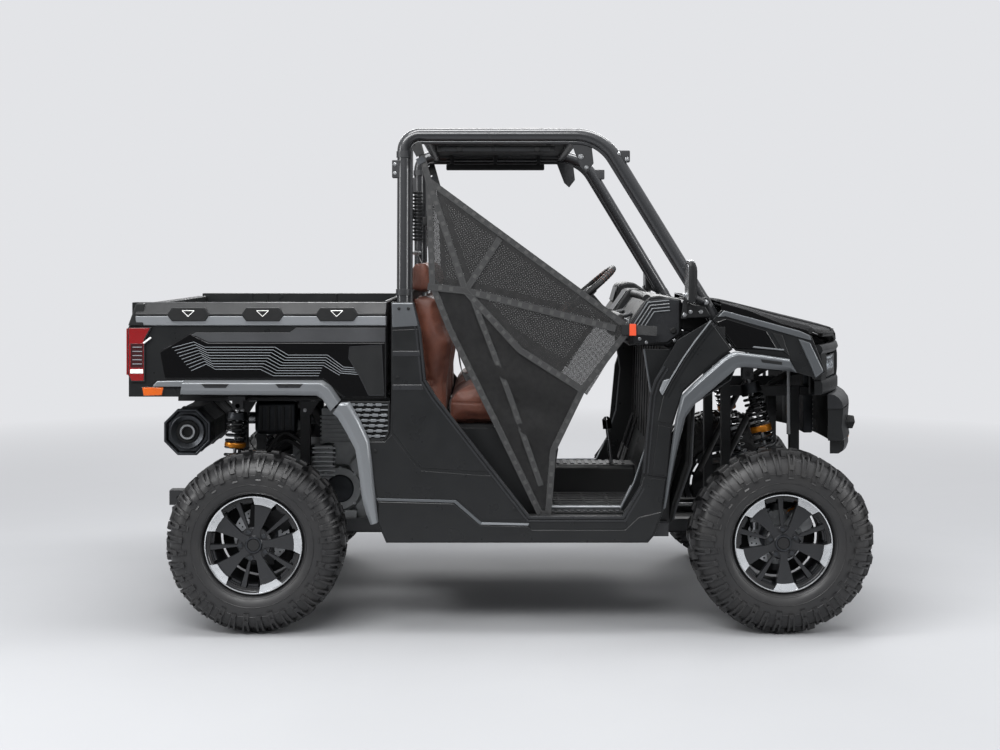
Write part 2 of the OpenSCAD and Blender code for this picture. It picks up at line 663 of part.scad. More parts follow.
module grille() color("#141516") {
  intersection() {
    plan_slab(nose_band(front_x - 54, front_x - 224, 650, 12), 900, 1100);
    union() {
      for (i = [0:3])
        block([front_x - 200, -300 + seat_gap, 968 + i * 24], [front_x, 300 - seat_gap, 978 + i * 24]);
      for (y = [-200, 0, 200])
        block([front_x - 200, y - 5, 960 + seat_gap], [front_x, y + 5, 1060 - seat_gap]);
    }
  }
}

module headlamps() color("#c8ccd0") {
  both_sides()
    intersection() {
      plan_slab(nose_band(front_x - 52, front_x - 222, 650, 14), 900, 1100);
      nose_cut(lamp_cut, seat_gap);
    }
}

module bumper() color("#1f2022") {
  difference() {
    union() {
      plan_slab(nose_band(front_x - 14, front_x - 132, 600, 46), 661, 700);
      plan_slab(nose_band(front_x, front_x - 118, 600, 60), 690, 856);
      plan_slab(nose_band(front_x - 10, front_x - 128, 600, 50), 850, 900);
    }
    block([front_x - 90, -250, 720], [front_x + 1, 250, 840]);
    // Recesses of the towing eyes
    both_sides() block([front_x - 30, -460, 745], [front_x + 1, -340, 800]);
  }
  block([front_x - 62, -260, 661], [front_x - 40, 260, 900]);
  // Bars of the lower opening
  for (z = [744, 772, 800])
    block([front_x - 62, -250, z], [front_x - 26, 250, z + 12]);
  both_sides() block([ax_f + 170 + seat_gap, -rail_y - 20, 862], [front_x - 50, -rail_y + 20, 898]);
}

module cowl() color("#202123") {
  side_slab([[fx + 67 + seat_gap, 1150], [fx + 67 + seat_gap, 1262], [hood_hinge_x - 16, 1244],
    [hood_hinge_x - 16, 1150]], -600, 600);
  // Hinge lugs of the hood
  both_sides()
    difference() {
      union() {
        cross_rod(hood_hinge_x, hood_hinge_z, -336, -320, 7.5);
        block([hood_hinge_x - 17, -336, hood_hinge_z - 7.5], [hood_hinge_x, -320, hood_hinge_z + 2]);
      }
      cross_rod(hood_hinge_x, hood_hinge_z, -337, -319, 5 + fit);
    }
}

module mirrors() color("#1d1e20") {
  both_sides() {
    translate([fx + 74, -745, 1340])
      rotate([0, 90, 0]) linear_extrude(34) polygon([[-77, -45], [-77, 30], [-60, 52], [60, 52], [79, 35],
        [79, -45], [60, -58], [-60, -58]]);
    // Arm from the cage's front pillar
    cross_rod(pillar_x(1262), 1262, -712, -cage_y(1262) - cage_r - 0.8, 10);
    rod([pillar_x(1262), -708, 1262], [fx + 100, -735, 1285], 20);
  }
}

module net() {
  cage_plane(cage_r + 3 + seat_gap)
    side_slab([[bx + 95, lean_z(cage_z)], [bx + 112, lean_z(cage_z)], [bx + 138, lean_z(1732)], [fx - 158, lean_z(1175)],
      [fx - 158, lean_z(1136)], [fx - 435, lean_z(694)], [fx - 454, lean_z(sill_z - 3 + seat_gap)],
      [fx - 485, lean_z(sill_z - 3 + seat_gap)],
      [bx + 222, lean_z(1155)], [bx + 153, lean_z(1328)], [bx + 90, lean_z(1700)]], -3, 3);
}

module net_right() color("#101112") {
  net();
}

module net_left() color("#101112") {
  mirror([0, 1, 0]) net();
}

// An arm eye, bored for the steering axis pin
module kingpin_eye(z0, z1) {
  difference() {
    translate([ax_f, -kingpin_y, z0]) cylinder(r = eye_r, h = z1 - z0);
    translate([ax_f, -kingpin_y, z0 - 1]) cylinder(r = kingpin_r + fit, h = z1 - z0 + 2);
  }
}

// One tube of an arm, from its bush beside the frame to the wheel's end
module arm_tube(bush, tip, d, bush_r) {
  rod(bush, tip, d);
  translate(bush + [-24, 0, 0]) rotate([0, 90, 0]) cylinder(r = bush_r, h = 48);
}

module front_arms() color("#2c2e30") {
  low_z = wz_f - kingpin_half;
  high_z = wz_f + kingpin_half;
  low_y = -rail_y - rail_w / 2 - 20 - seat_gap;
  high_y = -rail_y - 20 - 16 - seat_gap;
  both_sides()
    difference() {
      union() {
        for (x = [-150, 150])
          arm_tube([ax_f + x, low_y, rail_z + 28], [ax_f + sign(x) * 10, -kingpin_y + 10, low_z - 13], 32, 20);
        for (x = [-133, 151])
          arm_tube([ax_f + x, high_y, wz_f + 160], [ax_f + sign(x) * 10, -kingpin_y + 10, high_z + 12], 26, 16);
        translate([ax_f, -kingpin_y, low_z - 26]) cylinder(r = eye_r, h = 26 - seat_gap);
        translate([ax_f, -kingpin_y, high_z + seat_gap]) cylinder(r = eye_r, h = 26);
      }
      translate([ax_f, -kingpin_y, low_z - 40]) cylinder(r = kingpin_r + fit, h = 50);
      translate([ax_f, -kingpin_y, high_z - 1]) cylinder(r = kingpin_r + fit, h = 50);
      block([ax_f - 40, -kingpin_y - 40, low_z - seat_gap], [ax_f + 40, -kingpin_y + 60, high_z + seat_gap]);
    }
}

module rear_arms() color("#2c2e30") {
  low_y = -rail_y - rail_w / 2 - 20 - seat_gap;
  high_y = -rail_y - 20 - 16 - seat_gap;
  both_sides() {
    for (x = [-190, 190])
      arm_tube([ax_r + x, low_y, rail_z + 28], [ax_r + sign(x) * 30, -556, wz_r - 96], 34, 20);
    for (x = [-130, 130])
      arm_tube([ax_r + x, high_y, wz_r + 190], [ax_r + sign(x) * 25, -556, wz_r + 100], 28, 16);
    // Upright with the stub that carries the wheel
    side_slab([[ax_r - 48, wz_r - 116], [ax_r + 48, wz_r - 116], [ax_r + 52, wz_r], [ax_r + 42, wz_r + 120],
      [ax_r - 42, wz_r + 120], [ax_r - 52, wz_r]], -578, -540);
    cross_rod(ax_r, wz_r, -rear_hub_y, -540, hub_r);
    cross_rod(ax_r, wz_r, -tyre_y_r - 55, -rear_hub_y + 10, stub_r);
    caliper(ax_r, wz_r, -rear_hub_y - seat_gap - 17);
    // Foot of the shock absorber
    block([ax_r - 176, -486, 352], [ax_r - 92, -424, 366]);
    block([ax_r - 150, -480, 300], [ax_r - 100, -430, 360]);
  }
}

// A helical spring along Z, from z0 to z1 over its wire
module spring(z0, z1, coil_r, wire_r, turns) {
  steps = 10;
  sides = 6;
  wire_half = wire_r * cos(180 / sides);
  rise = z1 - z0 - 2 * wire_half;
  sweep([for (k = [0:turns * steps]) [coil_r * cos(k * 360 / steps), coil_r * sin(k * 360 / steps),
    z0 + wire_half + rise * k / (turns * steps)]], wire_r, [0, 0, 1], sides);
}

module shock(top, foot, coil_r) {
  run = top - foot;
  long = norm(run);
  wire_r = 6.5;
  // Damper, its rod, the spring seats and the coupler between the two springs
  translate(foot)
    rotate([0, acos(run[2] / long), atan2(run[1], run[0])]) {
      cylinder(d = 40, h = long * 0.5);
      translate([0, 0, long * 0.45]) cylinder(d = 24, h = long * 0.55);
      translate([0, 0, long * 0.30]) cylinder(r = coil_r, h = long * 0.02);
      translate([0, 0, long * 0.64]) cylinder(r = coil_r - 2, h = long * 0.025);
      translate([0, 0, long * 0.90]) cylinder(r = coil_r - 4, h = long * 0.02);
      spring(long * 0.32 + seat_gap, long * 0.64 - seat_gap, coil_r - wire_r - 1, wire_r, 5.5);
      spring(long * 0.665 + seat_gap, long * 0.90 - seat_gap, coil_r - wire_r - 1, wire_r, 4);
    }
  // Eyes
  cross_rod(top[0], top[2], top[1] - 16, top[1] + 16, 17);
  cross_rod(foot[0], foot[2], foot[1] - 16, foot[1] + 16, 20);
}

module shock_absorbers() color("#c07a2a") {
  both_sides() {
    shock([ax_f - 73, -408, 965], [ax_f + 84, -440, 325], 44);
    shock([ax_r - 112, -455, 840], [ax_r - 150, -455, 366 + 20 + seat_gap], 44);
  }
}

rack_x = ax_f - steering_arm;
rack_z = wz_f + 42;
rack_r = 10;
rod_end_h = 14;

// The rack with both tie rods
module steering_rack() color("#8a8d90") {
  cross_rod(rack_x, rack_z, -kingpin_y + 14, kingpin_y - 14, rack_r);
  both_sides() translate([rack_x, -kingpin_y, rack_z - rod_end_h]) cylinder(r = 16, h = rod_end_h * 2);
}

module rack_housing() color("#3a3c3e") {
  difference() {
    union() {
      cross_rod(rack_x, rack_z, -170, 170, 20);
      both_sides() block([rack_x - 40, -150, rail_top - 5], [rack_x - 12, -110, rack_z]);
    }
    cross_rod(rack_x, rack_z, -171, 171, rack_r + fit);
  }
}

// A brake caliper over a disc in the plane y, up and ahead of a wheel centre, with its bracket inwards
module caliper(x, z, y) {
  running = 5;
  disc_half = 3;
  inner = y + disc_half + running;
  outer = y - disc_half - running;
  pad = [[86, -42], [104, -48], [138, -38], [141, 0], [138, 38], [104, 48], [86, 42]];
  translate([x, 0, z]) rotate([0, -40, 0]) {
    side_slab(pad, inner, inner + 15);
    side_slab(pad, outer - 12, outer);
    side_slab([[disc_d / 2 + running, -44], [138, -38], [141, 0], [138, 38], [disc_d / 2 + running, 44]],
      outer - 12, inner + 15);
    side_slab([[34, -22], [100, -34], [100, 34], [34, 22]], inner + 10, inner + 24);
  }
}

module knuckle() {
  low_z = wz_f - kingpin_half;
  high_z = wz_f + kingpin_half;
  translate([0, -kingpin_y, 0]) {
    difference() {
      union() {
        translate([ax_f, 0, low_z]) cylinder(r = 24, h = 30);
        translate([ax_f, 0, high_z - 30]) cylinder(r = 24, h = 30);
        translate([ax_f, 0, low_z - 24]) cylinder(r = kingpin_r, h = 30);
        translate([ax_f, 0, high_z - 6]) cylinder(r = kingpin_r, h = 30);
        side_slab([[ax_f - 30, low_z + 4], [ax_f + 30, low_z + 4], [ax_f + 52, wz_f], [ax_f + 30, high_z - 4],
          [ax_f - 30, high_z - 4], [ax_f - 52, wz_f]], -20, 20);
        cross_rod(ax_f, wz_f, -32, 30, 50);
        block([rack_x - 18, -18, rack_z + rod_end_h + seat_gap], [ax_f + 10, 18, rack_z + rod_end_h + 16]);
      }
    }
    cross_rod(ax_f, wz_f, kingpin_y - tyre_y_f - 45, -30, stub_r);
  }
  caliper(ax_f, wz_f, -kingpin_y - 32 - seat_gap - 17);
}

module knuckle_right() color("#46494c") {
  knuckle();
}

module knuckle_left() color("#46494c") {
  mirror([0, 1, 0]) knuckle();
}

// A tyre on the Y axis, of outer diameter d and width w
module tyre(d, w) {
  crown_r = d / 2 - lug_h;
  half = w / 2;
  outer = [[bead_r, -half + bead_inset], [rim_r + 2, -half + bead_inset - 2], [rim_r + 12, -half + 22],
    [rim_r + 34, -half + 8], [rim_r + 78, -half + 4],
    [crown_r - 34, -half + 12], [crown_r - 10, -half + 34], [crown_r, -half + 70]];
  inner = [[crown_r - 14, -half + 72], [crown_r - 24, -half + 42], [crown_r - 44, -half + 26],
    [rim_r + 78, -half + 18], [rim_r + 34, -half + 21], [rim_r + 4, -half + 40], [bead_r, -half + 56]];
  function flip(list) = [for (i = [len(list) - 1:-1:0]) [list[i][0], -list[i][1]]];
  lug = [[crown_r - 6, -8], [d / 2, -8], [d / 2, -half + 60], [d / 2 - 3, -half + 34], [d / 2 - 22, -half + 6],
    [d / 2 - 48, -half], [rim_r + 62, -half + 0.5], [rim_r + 60, -half + 12], [crown_r - 40, -half + 20],
    [crown_r - 14, -half + 46]];
  rotate([90, 0, 0])
    rotate_extrude($fn = 72) polygon(concat(outer, flip(outer), flip(inner), inner));
  for (i = [0:lug_count - 1], side = [0, 1])
    mirror([0, side, 0])
      rotate([0, (i + side / 2) * 360 / lug_count, 0])
        translate([0, 0, -lug_w / 2]) linear_extrude(lug_w) polygon(lug);
}

// One wide spoke in the wheel's plane, from the hub to the barrel, with its outer end spread
module spoke_shape() {
  tip = bead_r - 4;
  polygon([[30, -27], [70, -19], [120, -26], [tip - 26, -38], [tip * cos(13.5), -tip * sin(13.5)],
    [tip, 0], [tip * cos(13.5), tip * sin(13.5)], [tip - 26, 38], [120, 26], [70, 19], [30, 27]]);
}

// A rim on the Y axis with its hub and brake disc, outside towards -Y, for a tyre of width w.
// hub_in is the hub's inner end and turn the angle of the wheel's first gap between spokes.
module rim(w, hub_in, turn) {
  half = w / 2 - bead_inset;
  face = half + 2;
  pitch = 360 / spoke_count;
  rotate([90, 0, 0]) rotate([0, 0, turn]) {
    difference() {
      union() {
        rotate_extrude($fn = 72)
          polygon([[bead_r - 8, -half - 8], [rim_r, -half - 8], [rim_r, -half - 2 - seat_gap],
            [bead_r - seat_gap, -half - 2 - seat_gap], [bead_r - seat_gap, half + 2 + seat_gap],
            [rim_r, half + 2 + seat_gap], [rim_r, half + 8], [rim_r - 8, half + 9], [bead_r - 9, half],
            [bead_r - 12, half - 40], [bead_r - 12, -half + 4]]);
        translate([0, 0, hub_in]) cylinder(r = hub_r, h = face - 22 - hub_in);
        translate([0, 0, face - 24]) cylinder(r = 62, h = 16);
        translate([0, 0, face - 10]) cylinder(r = 27, h = 14);
        for (i = [0:spoke_count - 1]) {
          rotate([0, 0, (i + 0.25) * pitch]) translate([0, 0, face - 26]) linear_extrude(20) spoke_shape();
          rotate([0, 0, (i - 0.25) * pitch]) translate([0, -6, face - 34]) cube([bead_r - 5, 12, 14]);
        }
        translate([0, 0, hub_in + 14]) cylinder(d = disc_d, h = 6);
      }
      translate([0, 0, hub_in - 1]) cylinder(r = stub_r + fit, h = face - 30 - hub_in);
    }
  }
}

module tyre_front_right() color("#161617") {
  translate([ax_f, -tyre_y_f, wz_f]) tyre(front_tyre_d, front_tyre_w);
}

module tyre_front_left() color("#161617") {
  translate([ax_f, tyre_y_f, wz_f]) tyre(front_tyre_d, front_tyre_w);
}

module tyre_rear_right() color("#161617") {
  translate([ax_r, -tyre_y_r, wz_r]) tyre(rear_tyre_d, rear_tyre_w);
}

module tyre_rear_left() color("#161617") {
  translate([ax_r, tyre_y_r, wz_r]) tyre(rear_tyre_d, rear_tyre_w);
}

module rim_front_right() color("#9a9da0") {
  translate([ax_f, -tyre_y_f, wz_f]) rim(front_tyre_w, kingpin_y + 32 + seat_gap - tyre_y_f, 41);
}

module rim_front_left() color("#9a9da0") {
  mirror([0, 1, 0]) rim_front_right();
}

module rim_rear_right() color("#9a9da0") {
  translate([ax_r, -tyre_y_r, wz_r]) rim(rear_tyre_w, rear_hub_y + seat_gap - tyre_y_r, -11);
}

module rim_rear_left() color("#9a9da0") {
  mirror([0, 1, 0]) rim_rear_right();
}

module bed_tub() color("#232527") {
  // Floor and walls
  difference() {
    union() {
      block([bed_back + 40, -bed_wall_y, bed_under], [bed_front, bed_wall_y, bed_floor_z]);
      block([bed_front - 20, -bed_wall_y, bed_under], [bed_front, bed_wall_y, bed_rail_z - 6]);
    }
    // Channels pressed into the floor and the front wall
    both_sides() {
      for (i = [0:5])
        block([bed_back + 90, -96 - i * 92, bed_floor_z - 3], [bed_front - 70, -60 - i * 92, bed_floor_z + 1]);
      for (i = [0:3])
        block([bed_front - 21, -150 - i * 130, bed_floor_z + 60], [bed_front - 16, -80 - i * 130, bed_rail_z - 60]);
    }
  }
  both_sides() {
    difference() {
      block([bed_back + 5, -bed_wall_y, bed_under], [bed_front, -bed_in_y, bed_rail_z]);
      // Slots for a divider board
      for (x = [bed_back + 330, bed_back + 660])
        block([x - 14, -bed_in_y - 10, bed_floor_z + 30], [x + 14, -bed_in_y + 1, bed_rail_z + 1]);
    }
    // Hinge lug and pin
    block([hinge_x - hinge_lug_r, -rail_y - 44, hinge_z], [hinge_x + hinge_lug_r, -rail_y - 26, bed_under + 1]);
    cross_rod(hinge_x, hinge_z, -rail_y - 44, -rail_y - 26, hinge_lug_r);
    cross_rod(hinge_x, hinge_z, -rail_y - 40, -rail_y + 14, hinge_pin_d / 2);
    // Lug of the tailgate's hinge
    difference() {
      union() {
        block([gate_hinge_x, -520, gate_hinge_z - gate_lug_r], [bed_back + 60, -500, bed_under + 4]);
        cross_rod(gate_hinge_x, gate_hinge_z, -520, -500, gate_lug_r);
      }
      cross_rod(gate_hinge_x, gate_hinge_z, -521, -499, gate_pin_r + fit);
      block([gate_hinge_x - 20, -521, gate_hinge_z + gate_lug_r - 0.5], [bed_back + 39, -499, bed_floor_z]);
    }
  }
}

module bed_side() {
  difference() {
    union() {
      side_slab([[bed_back, 902], [bed_back, 1173], [bed_back + 31, bed_rail_z], [bed_front, bed_rail_z],
        [bed_front, bed_low], [bed_front - 160, bed_low], [bed_front - 218, 935], [bed_front - 248, 916],
        [bed_back + 205, 916], [bed_back + 196, 902]], -bed_side_y, -bed_wall_y - seat_gap);
      cross_slab([[-bed_wall_y - seat_gap, bed_rail_z], [-bed_half_w, 1215], [-bed_half_w, 1211],
        [-bed_side_y - 10, 1173], [-bed_side_y, 1173], [-bed_wall_y - seat_gap, 1173]], bed_back, bed_front);
    }
    for (x = [bed_back + 233, bed_back + 516, bed_back + 798])
      side_slab([[x - 80, 1219], [x - 66, 1242], [x + 66, 1242], [x + 80, 1219], [x + 66, 1197], [x - 66, 1197]],
        -bed_half_w - 1, -bed_side_y);
    block([bed_back - 1, -bed_half_w - 1, 1170], [bed_back + 31, -bed_wall_y, bed_rail_z + 1]);
    // Flank set back above the gloss panel
    side_slab([[bed_back + 126, 1128], [bed_back + 246, 1162], [bed_front - 8, 1162], [bed_front - 8, 1116],
      [bed_back + 306, 1116], [bed_back + 238, 1150], [bed_back + 120, 1082]], -bed_side_y - 1, -bed_side_y + relief);
  }
}

module bed_side_right() color("#2e3032") {
  bed_side();
}

module bed_side_left() color("#2e3032") {
  mirror([0, 1, 0]) bed_side();
}

module bed_gloss_panels() color("#0c0d0e") {
  both_sides()
    side_slab([[bed_back + 121, 1073], [bed_back + 236, 1142], [bed_back + 304, 1108], [bed_front - 6, 1108],
      [bed_front - 6, bed_low + 5], [bed_front - 157, bed_low + 5], [bed_front - 240, 972], [bed_back + 140, 972]],
      -bed_side_y - 5, -bed_side_y - seat_gap);
}

module bed_flares() color("#55585b") {
  both_sides() {
    side_slab([[bed_back + 216, 966], [bed_front - 240, 966], [bed_front - 210, 943], [bed_front - 172, 888],
      [bed_front - 210, 850], [bed_front - 240, 896], [bed_front - 263, 909], [bed_back + 205, 914]],
      -bed_flare_y + 6, -bed_side_y - seat_gap);
    side_slab(band([[bed_back + 220, 966], [bed_front - 240, 966], [bed_front - 210, 943], [bed_front - 175, 892]],
      -5, -30), -bed_flare_y, -bed_flare_y + 7);
  }
}

module tail_lamps() color("#8c1015") {
  both_sides() {
    side_slab([[bed_back, 1169], [bed_back + 92, 1169], [bed_back + 65, 1120], [bed_back + 65, 959],
      [bed_back + 12, 959], [bed_back, 985]], -bed_side_y - 10, -bed_side_y - seat_gap);
    // Bars of the reversing lamp
    for (z = [1013, 1045, 1077])
      block([bed_back + 8, -bed_side_y - 12, z], [bed_back + 52, -bed_side_y - 9, z + 7]);
    block([bed_back - 7, -bed_side_y, 985], [bed_back - seat_gap, -bed_in_y - 20, 1165]);
    // Side marker lamp
    side_slab([[bed_back + 53, 938], [bed_back + 134, 938], [bed_back + 128, 908], [bed_back + 58, 906]],
      -bed_side_y - 7, -bed_side_y - seat_gap);
  }
}

module tailgate() color("#2a2c2e") {
  difference() {
    block([rear_x, -bed_in_y + 6, gate_hinge_z + gate_lug_r + 2],
      [rear_x + tailgate_t, bed_in_y - 6, bed_rail_z - 12]);
    // Pressed field with the handle's recess above it
    for (side = [-1, 1])
      block([rear_x - 1, side * 310 - 240, 1000], [rear_x + 6, side * 310 + 240, 1150]);
    block([rear_x - 1, -95, 1178], [rear_x + 16, 95, 1226]);
  }
  block([rear_x, -80, 1196], [rear_x + 20, 80, 1206]);
  both_sides() {
    block([rear_x, -499.7, gate_hinge_z - 6], [gate_hinge_x + 10, -480, gate_hinge_z + gate_lug_r + 3]);
    cross_rod(gate_hinge_x, gate_hinge_z, -519, -481, gate_pin_r);
  }
}

hood_back = hood_hinge_x + 8;
// Front edge of the hood at a distance y from the centre plane
function hood_front(y) = fx + lookup(abs(y), [[0, 785], [200, 770], [420, 720], [600, 640], [700, 553]]);
// Height of the hood's skin: a raised middle, a groove beside it and a ridge along the edge
function hood_z(x, y) = lookup(x, [[hood_back, 1270], [fx + 320, 1254], [fx + 732, 1152], [fx + 785, 1100]])
  - lookup(abs(y), [[0, 0], [290, 4], [335, 6], [352, 20], [420, 22], [440, 9], [560, 16], [655, 24], [672, 20], [700, 34]])
  * (0.2 + 1.1 * min(1, (x - hood_back) / (fx + 785 - hood_back) * 2.4));

module hood() color("#121314") {
  both_sides() {
    side_slab([[hood_hinge_x - 7, hood_hinge_z - 8], [hood_hinge_x + 30, hood_hinge_z - 14],
      [hood_hinge_x + 30, hood_hinge_z + 18], [hood_hinge_x + 9, hood_hinge_z + 18],
      [hood_hinge_x - 5, hood_hinge_z + 8]], -320 + seat_gap, -304);
    cross_rod(hood_hinge_x, hood_hinge_z, -334, -305, 5);
  }
  across = [-700, -672, -655, -600, -500, -440, -420, -352, -335, -290, -150, 0,
    150, 290, 335, 352, 420, 440, 500, 600, 655, 672, 700];
  steps = 14;
  curved_sheet([for (i = [0:steps]) [for (y = across)
    let (x = hood_back + (hood_front(y) - hood_back) * i / steps) [x, y, hood_z(x, y)]]], 6);
}

frame();
skid_plate();
engine();
drivetrain();
muffler();
cage_right();
cage_left();
cage_cross_tubes();
roof_panel();
cabin_tub();
seat_base();
seat_cushions();
seat_backs();
dashboard();
steering_column();
side_panel_right();
side_panel_left();
side_vents();
fender_right();
fender_left();
front_flares();
rear_flares();
quarter_panels();
wheelhouse_liners();
fascia();
grille();
headlamps();
bumper();
cowl();
mirrors();
net_right();
net_left();
front_arms();
rear_arms();
shock_absorbers();
steering_rack();
rack_housing();
bed_tub();
bed_side_right();
bed_side_left();
bed_gloss_panels();
bed_flares();
tail_lamps();
tailgate();
hood();
knuckle_right();
knuckle_left();
steering_wheel();
tyre_front_right();
tyre_front_left();
tyre_rear_right();
tyre_rear_left();
rim_front_right();
rim_front_left();
rim_rear_right();
rim_rear_left();
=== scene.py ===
"""Looks of the side by side utility vehicle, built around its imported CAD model.

Everything is in metres in the vehicle's frame: +X ahead, +Y to its left, +Z up.
Outlines are written in millimetres from an anchor that is read off the frame, and at() converts them.
"""

import math

import bmesh
import bpy
from mathutils import Matrix, Vector, noise


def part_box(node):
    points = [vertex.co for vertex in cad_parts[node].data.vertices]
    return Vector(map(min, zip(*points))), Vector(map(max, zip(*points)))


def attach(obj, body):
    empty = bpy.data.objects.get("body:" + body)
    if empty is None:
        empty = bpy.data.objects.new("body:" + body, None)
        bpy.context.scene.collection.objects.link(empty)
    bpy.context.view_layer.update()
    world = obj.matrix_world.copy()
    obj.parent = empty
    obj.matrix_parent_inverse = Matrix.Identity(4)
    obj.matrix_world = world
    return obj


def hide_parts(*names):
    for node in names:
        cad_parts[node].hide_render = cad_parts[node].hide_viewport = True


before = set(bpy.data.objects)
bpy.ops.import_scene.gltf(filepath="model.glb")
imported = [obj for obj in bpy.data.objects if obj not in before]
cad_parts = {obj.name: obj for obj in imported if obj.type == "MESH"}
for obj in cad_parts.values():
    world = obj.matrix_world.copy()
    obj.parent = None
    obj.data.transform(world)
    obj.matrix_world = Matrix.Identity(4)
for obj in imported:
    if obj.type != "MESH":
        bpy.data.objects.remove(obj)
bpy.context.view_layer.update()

MM = 0.001
SIDES = (-1, 1)

# Places read off the frame
TUB_LOW, TUB_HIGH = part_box("cabin_tub")
FRONT_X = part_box("bumper")[1].x
BX = TUB_LOW.x - 4 * MM
FX = TUB_HIGH.x - 24 * MM
RIM_F_LOW, RIM_F_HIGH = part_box("rim_front_right")
RIM_R_LOW, RIM_R_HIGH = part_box("rim_rear_right")
AX_F = (RIM_F_LOW.x + RIM_F_HIGH.x) / 2
AX_R = (RIM_R_LOW.x + RIM_R_HIGH.x) / 2
TYRE_F_LOW, TYRE_F_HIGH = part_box("tyre_front_right")
TYRE_R_LOW, TYRE_R_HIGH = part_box("tyre_rear_right")
PANEL_Y = -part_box("side_panel_right")[0].y
BED_LOW, BED_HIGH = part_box("bed_side_right")
BED_BACK, BED_FRONT = BED_LOW.x, BED_HIGH.x
BED_HALF = -BED_LOW.y
BED_WALL_Y = -BED_HIGH.y
BED_SIDE_Y = BED_HALF - 22 * MM
BED_RAIL_Z = BED_HIGH.z
CAGE_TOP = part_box("cage_right")[1].z


def at(x0, points):
    """An outline in the side view, from millimetres ahead of x0 and above the ground."""
    return [(x0 + x * MM, z * MM) for x, z in points]


# Materials

def srgb(r, g, b):
    """A colour of 0 to 255 levels as Blender's linear colour."""
    return tuple((c / 255 / 12.92) if c <= 10 else ((c / 255 + 0.055) / 1.055) ** 2.4
                 for c in (r, g, b)) + (1.0,)


class Nodes:
    """A material's node tree with short calls for what the finishes here need."""

    def __init__(self, name):
        self.material = bpy.data.materials.new(name)
        self.material.use_nodes = True
        self.tree = self.material.node_tree
        self.shader = self.tree.nodes["Principled BSDF"]
        self.place = self.add("ShaderNodeTexCoord").outputs["Object"]
        self.height = None

    def add(self, kind, **values):
        node = self.tree.nodes.new(kind)
        for key, value in values.items():
            setattr(node, key, value)
        return node

    def link(self, source, target):
        self.tree.links.new(source, target)

    def stretched(self, scale):
        mapping = self.add("ShaderNodeMapping")
        mapping.inputs["Scale"].default_value = scale
        self.link(self.place, mapping.inputs["Vector"])
        return mapping.outputs["Vector"]

    def noise(self, scale, detail=3.0, rough=0.55, place=None):
        node = self.add("ShaderNodeTexNoise")
        node.inputs["Scale"].default_value = scale
        node.inputs["Detail"].default_value = detail
        node.inputs["Roughness"].default_value = rough
        self.link(place or self.place, node.inputs["Vector"])
        return node.outputs["Fac"]

    def cells(self, scale, feature="F1", place=None, randomness=1.0):
        node = self.add("ShaderNodeTexVoronoi", feature=feature)
        node.inputs["Scale"].default_value = scale
        node.inputs["Randomness"].default_value = randomness
        self.link(place or self.place, node.inputs["Vector"])
        return node.outputs["Distance"]

    def waves(self, scale, direction, profile="SIN", distortion=0.0, place=None):
        node = self.add("ShaderNodeTexWave", wave_type="BANDS", bands_direction=direction,
                        wave_profile=profile)
        node.inputs["Scale"].default_value = scale
        node.inputs["Distortion"].default_value = distortion
        self.link(place or self.place, node.inputs["Vector"])
        return node.outputs["Fac"]

    def maths(self, operation, a, b, c=None):
        node = self.add("ShaderNodeMath", operation=operation)
        for socket, value in zip(node.inputs, (a, b, c)):
            if isinstance(value, (int, float)):
                socket.default_value = value
            elif value is not None:
                self.link(value, socket)
        return node.outputs[0]

    def ranged(self, value, low, high, from_low=0.0, from_high=1.0):
        node = self.add("ShaderNodeMapRange")
        self.link(value, node.inputs["Value"])
        for key, number in (("From Min", from_low), ("From Max", from_high), ("To Min", low),
                            ("To Max", high)):
            node.inputs[key].default_value = number
        return node.outputs["Result"]

    def mixed(self, share, a, b):
        """Colour a where share is 0, colour b where it is 1."""
        node = self.add("ShaderNodeMix", data_type="RGBA")
        if isinstance(share, float):
            node.inputs["Factor"].default_value = share
        else:
            self.link(share, node.inputs["Factor"])
        for socket, value in ((node.inputs[6], a), (node.inputs[7], b)):
            if isinstance(value, tuple):
                socket.default_value = value
            else:
                self.link(value, socket)
        return node.outputs[2]

    def colour(self, value):
        if isinstance(value, tuple):
            self.shader.inputs["Base Color"].default_value = value
        else:
            self.link(value, self.shader.inputs["Base Color"])

    def set(self, **values):
        for key, value in values.items():
            self.shader.inputs[key.replace("_", " ")].default_value = value

    def rough(self, low, high, scale=14.0):
        self.link(self.ranged(self.noise(scale), low, high, 0.3, 0.7), self.shader.inputs["Roughness"])

    def bump(self, height, depth, strength=1.0):
        """One more layer of relief, depth metres high where height goes from 0 to 1."""
        node = self.add("ShaderNodeBump")
        node.inputs["Strength"].default_value = strength
        node.inputs["Distance"].default_value = depth
        self.link(height, node.inputs["Height"])
        if self.height is not None:
            self.link(self.height, node.inputs["Normal"])
        self.height = node.outputs["Normal"]
        self.link(self.height, self.shader.inputs["Normal"])


def varied(n, base, spread, scale=9.0):
    """The base colour, a little lighter and darker in soft patches."""
    light = tuple(min(1.0, c * (1 + spread)) for c in base[:3]) + (1.0,)
    dark = tuple(c * (1 - spread) for c in base[:3]) + (1.0,)
    return n.mixed(n.ranged(n.noise(scale), 0.0, 1.0, 0.35, 0.65), dark, light)


def moulded(name, base, low=0.42, high=0.56, grain=1.0):
    """Textured moulded plastic with a fine leathery grain."""
    n = Nodes(name)
    n.colour(varied(n, base, 0.09))
    n.rough(low, high)
    n.set(Specular_IOR_Level=0.34)
    n.bump(n.cells(760.0, "SMOOTH_F1"), 0.00035 * grain, 0.55)
    n.bump(n.noise(2600.0, 2.0), 0.00008 * grain, 0.6)
    return n.material


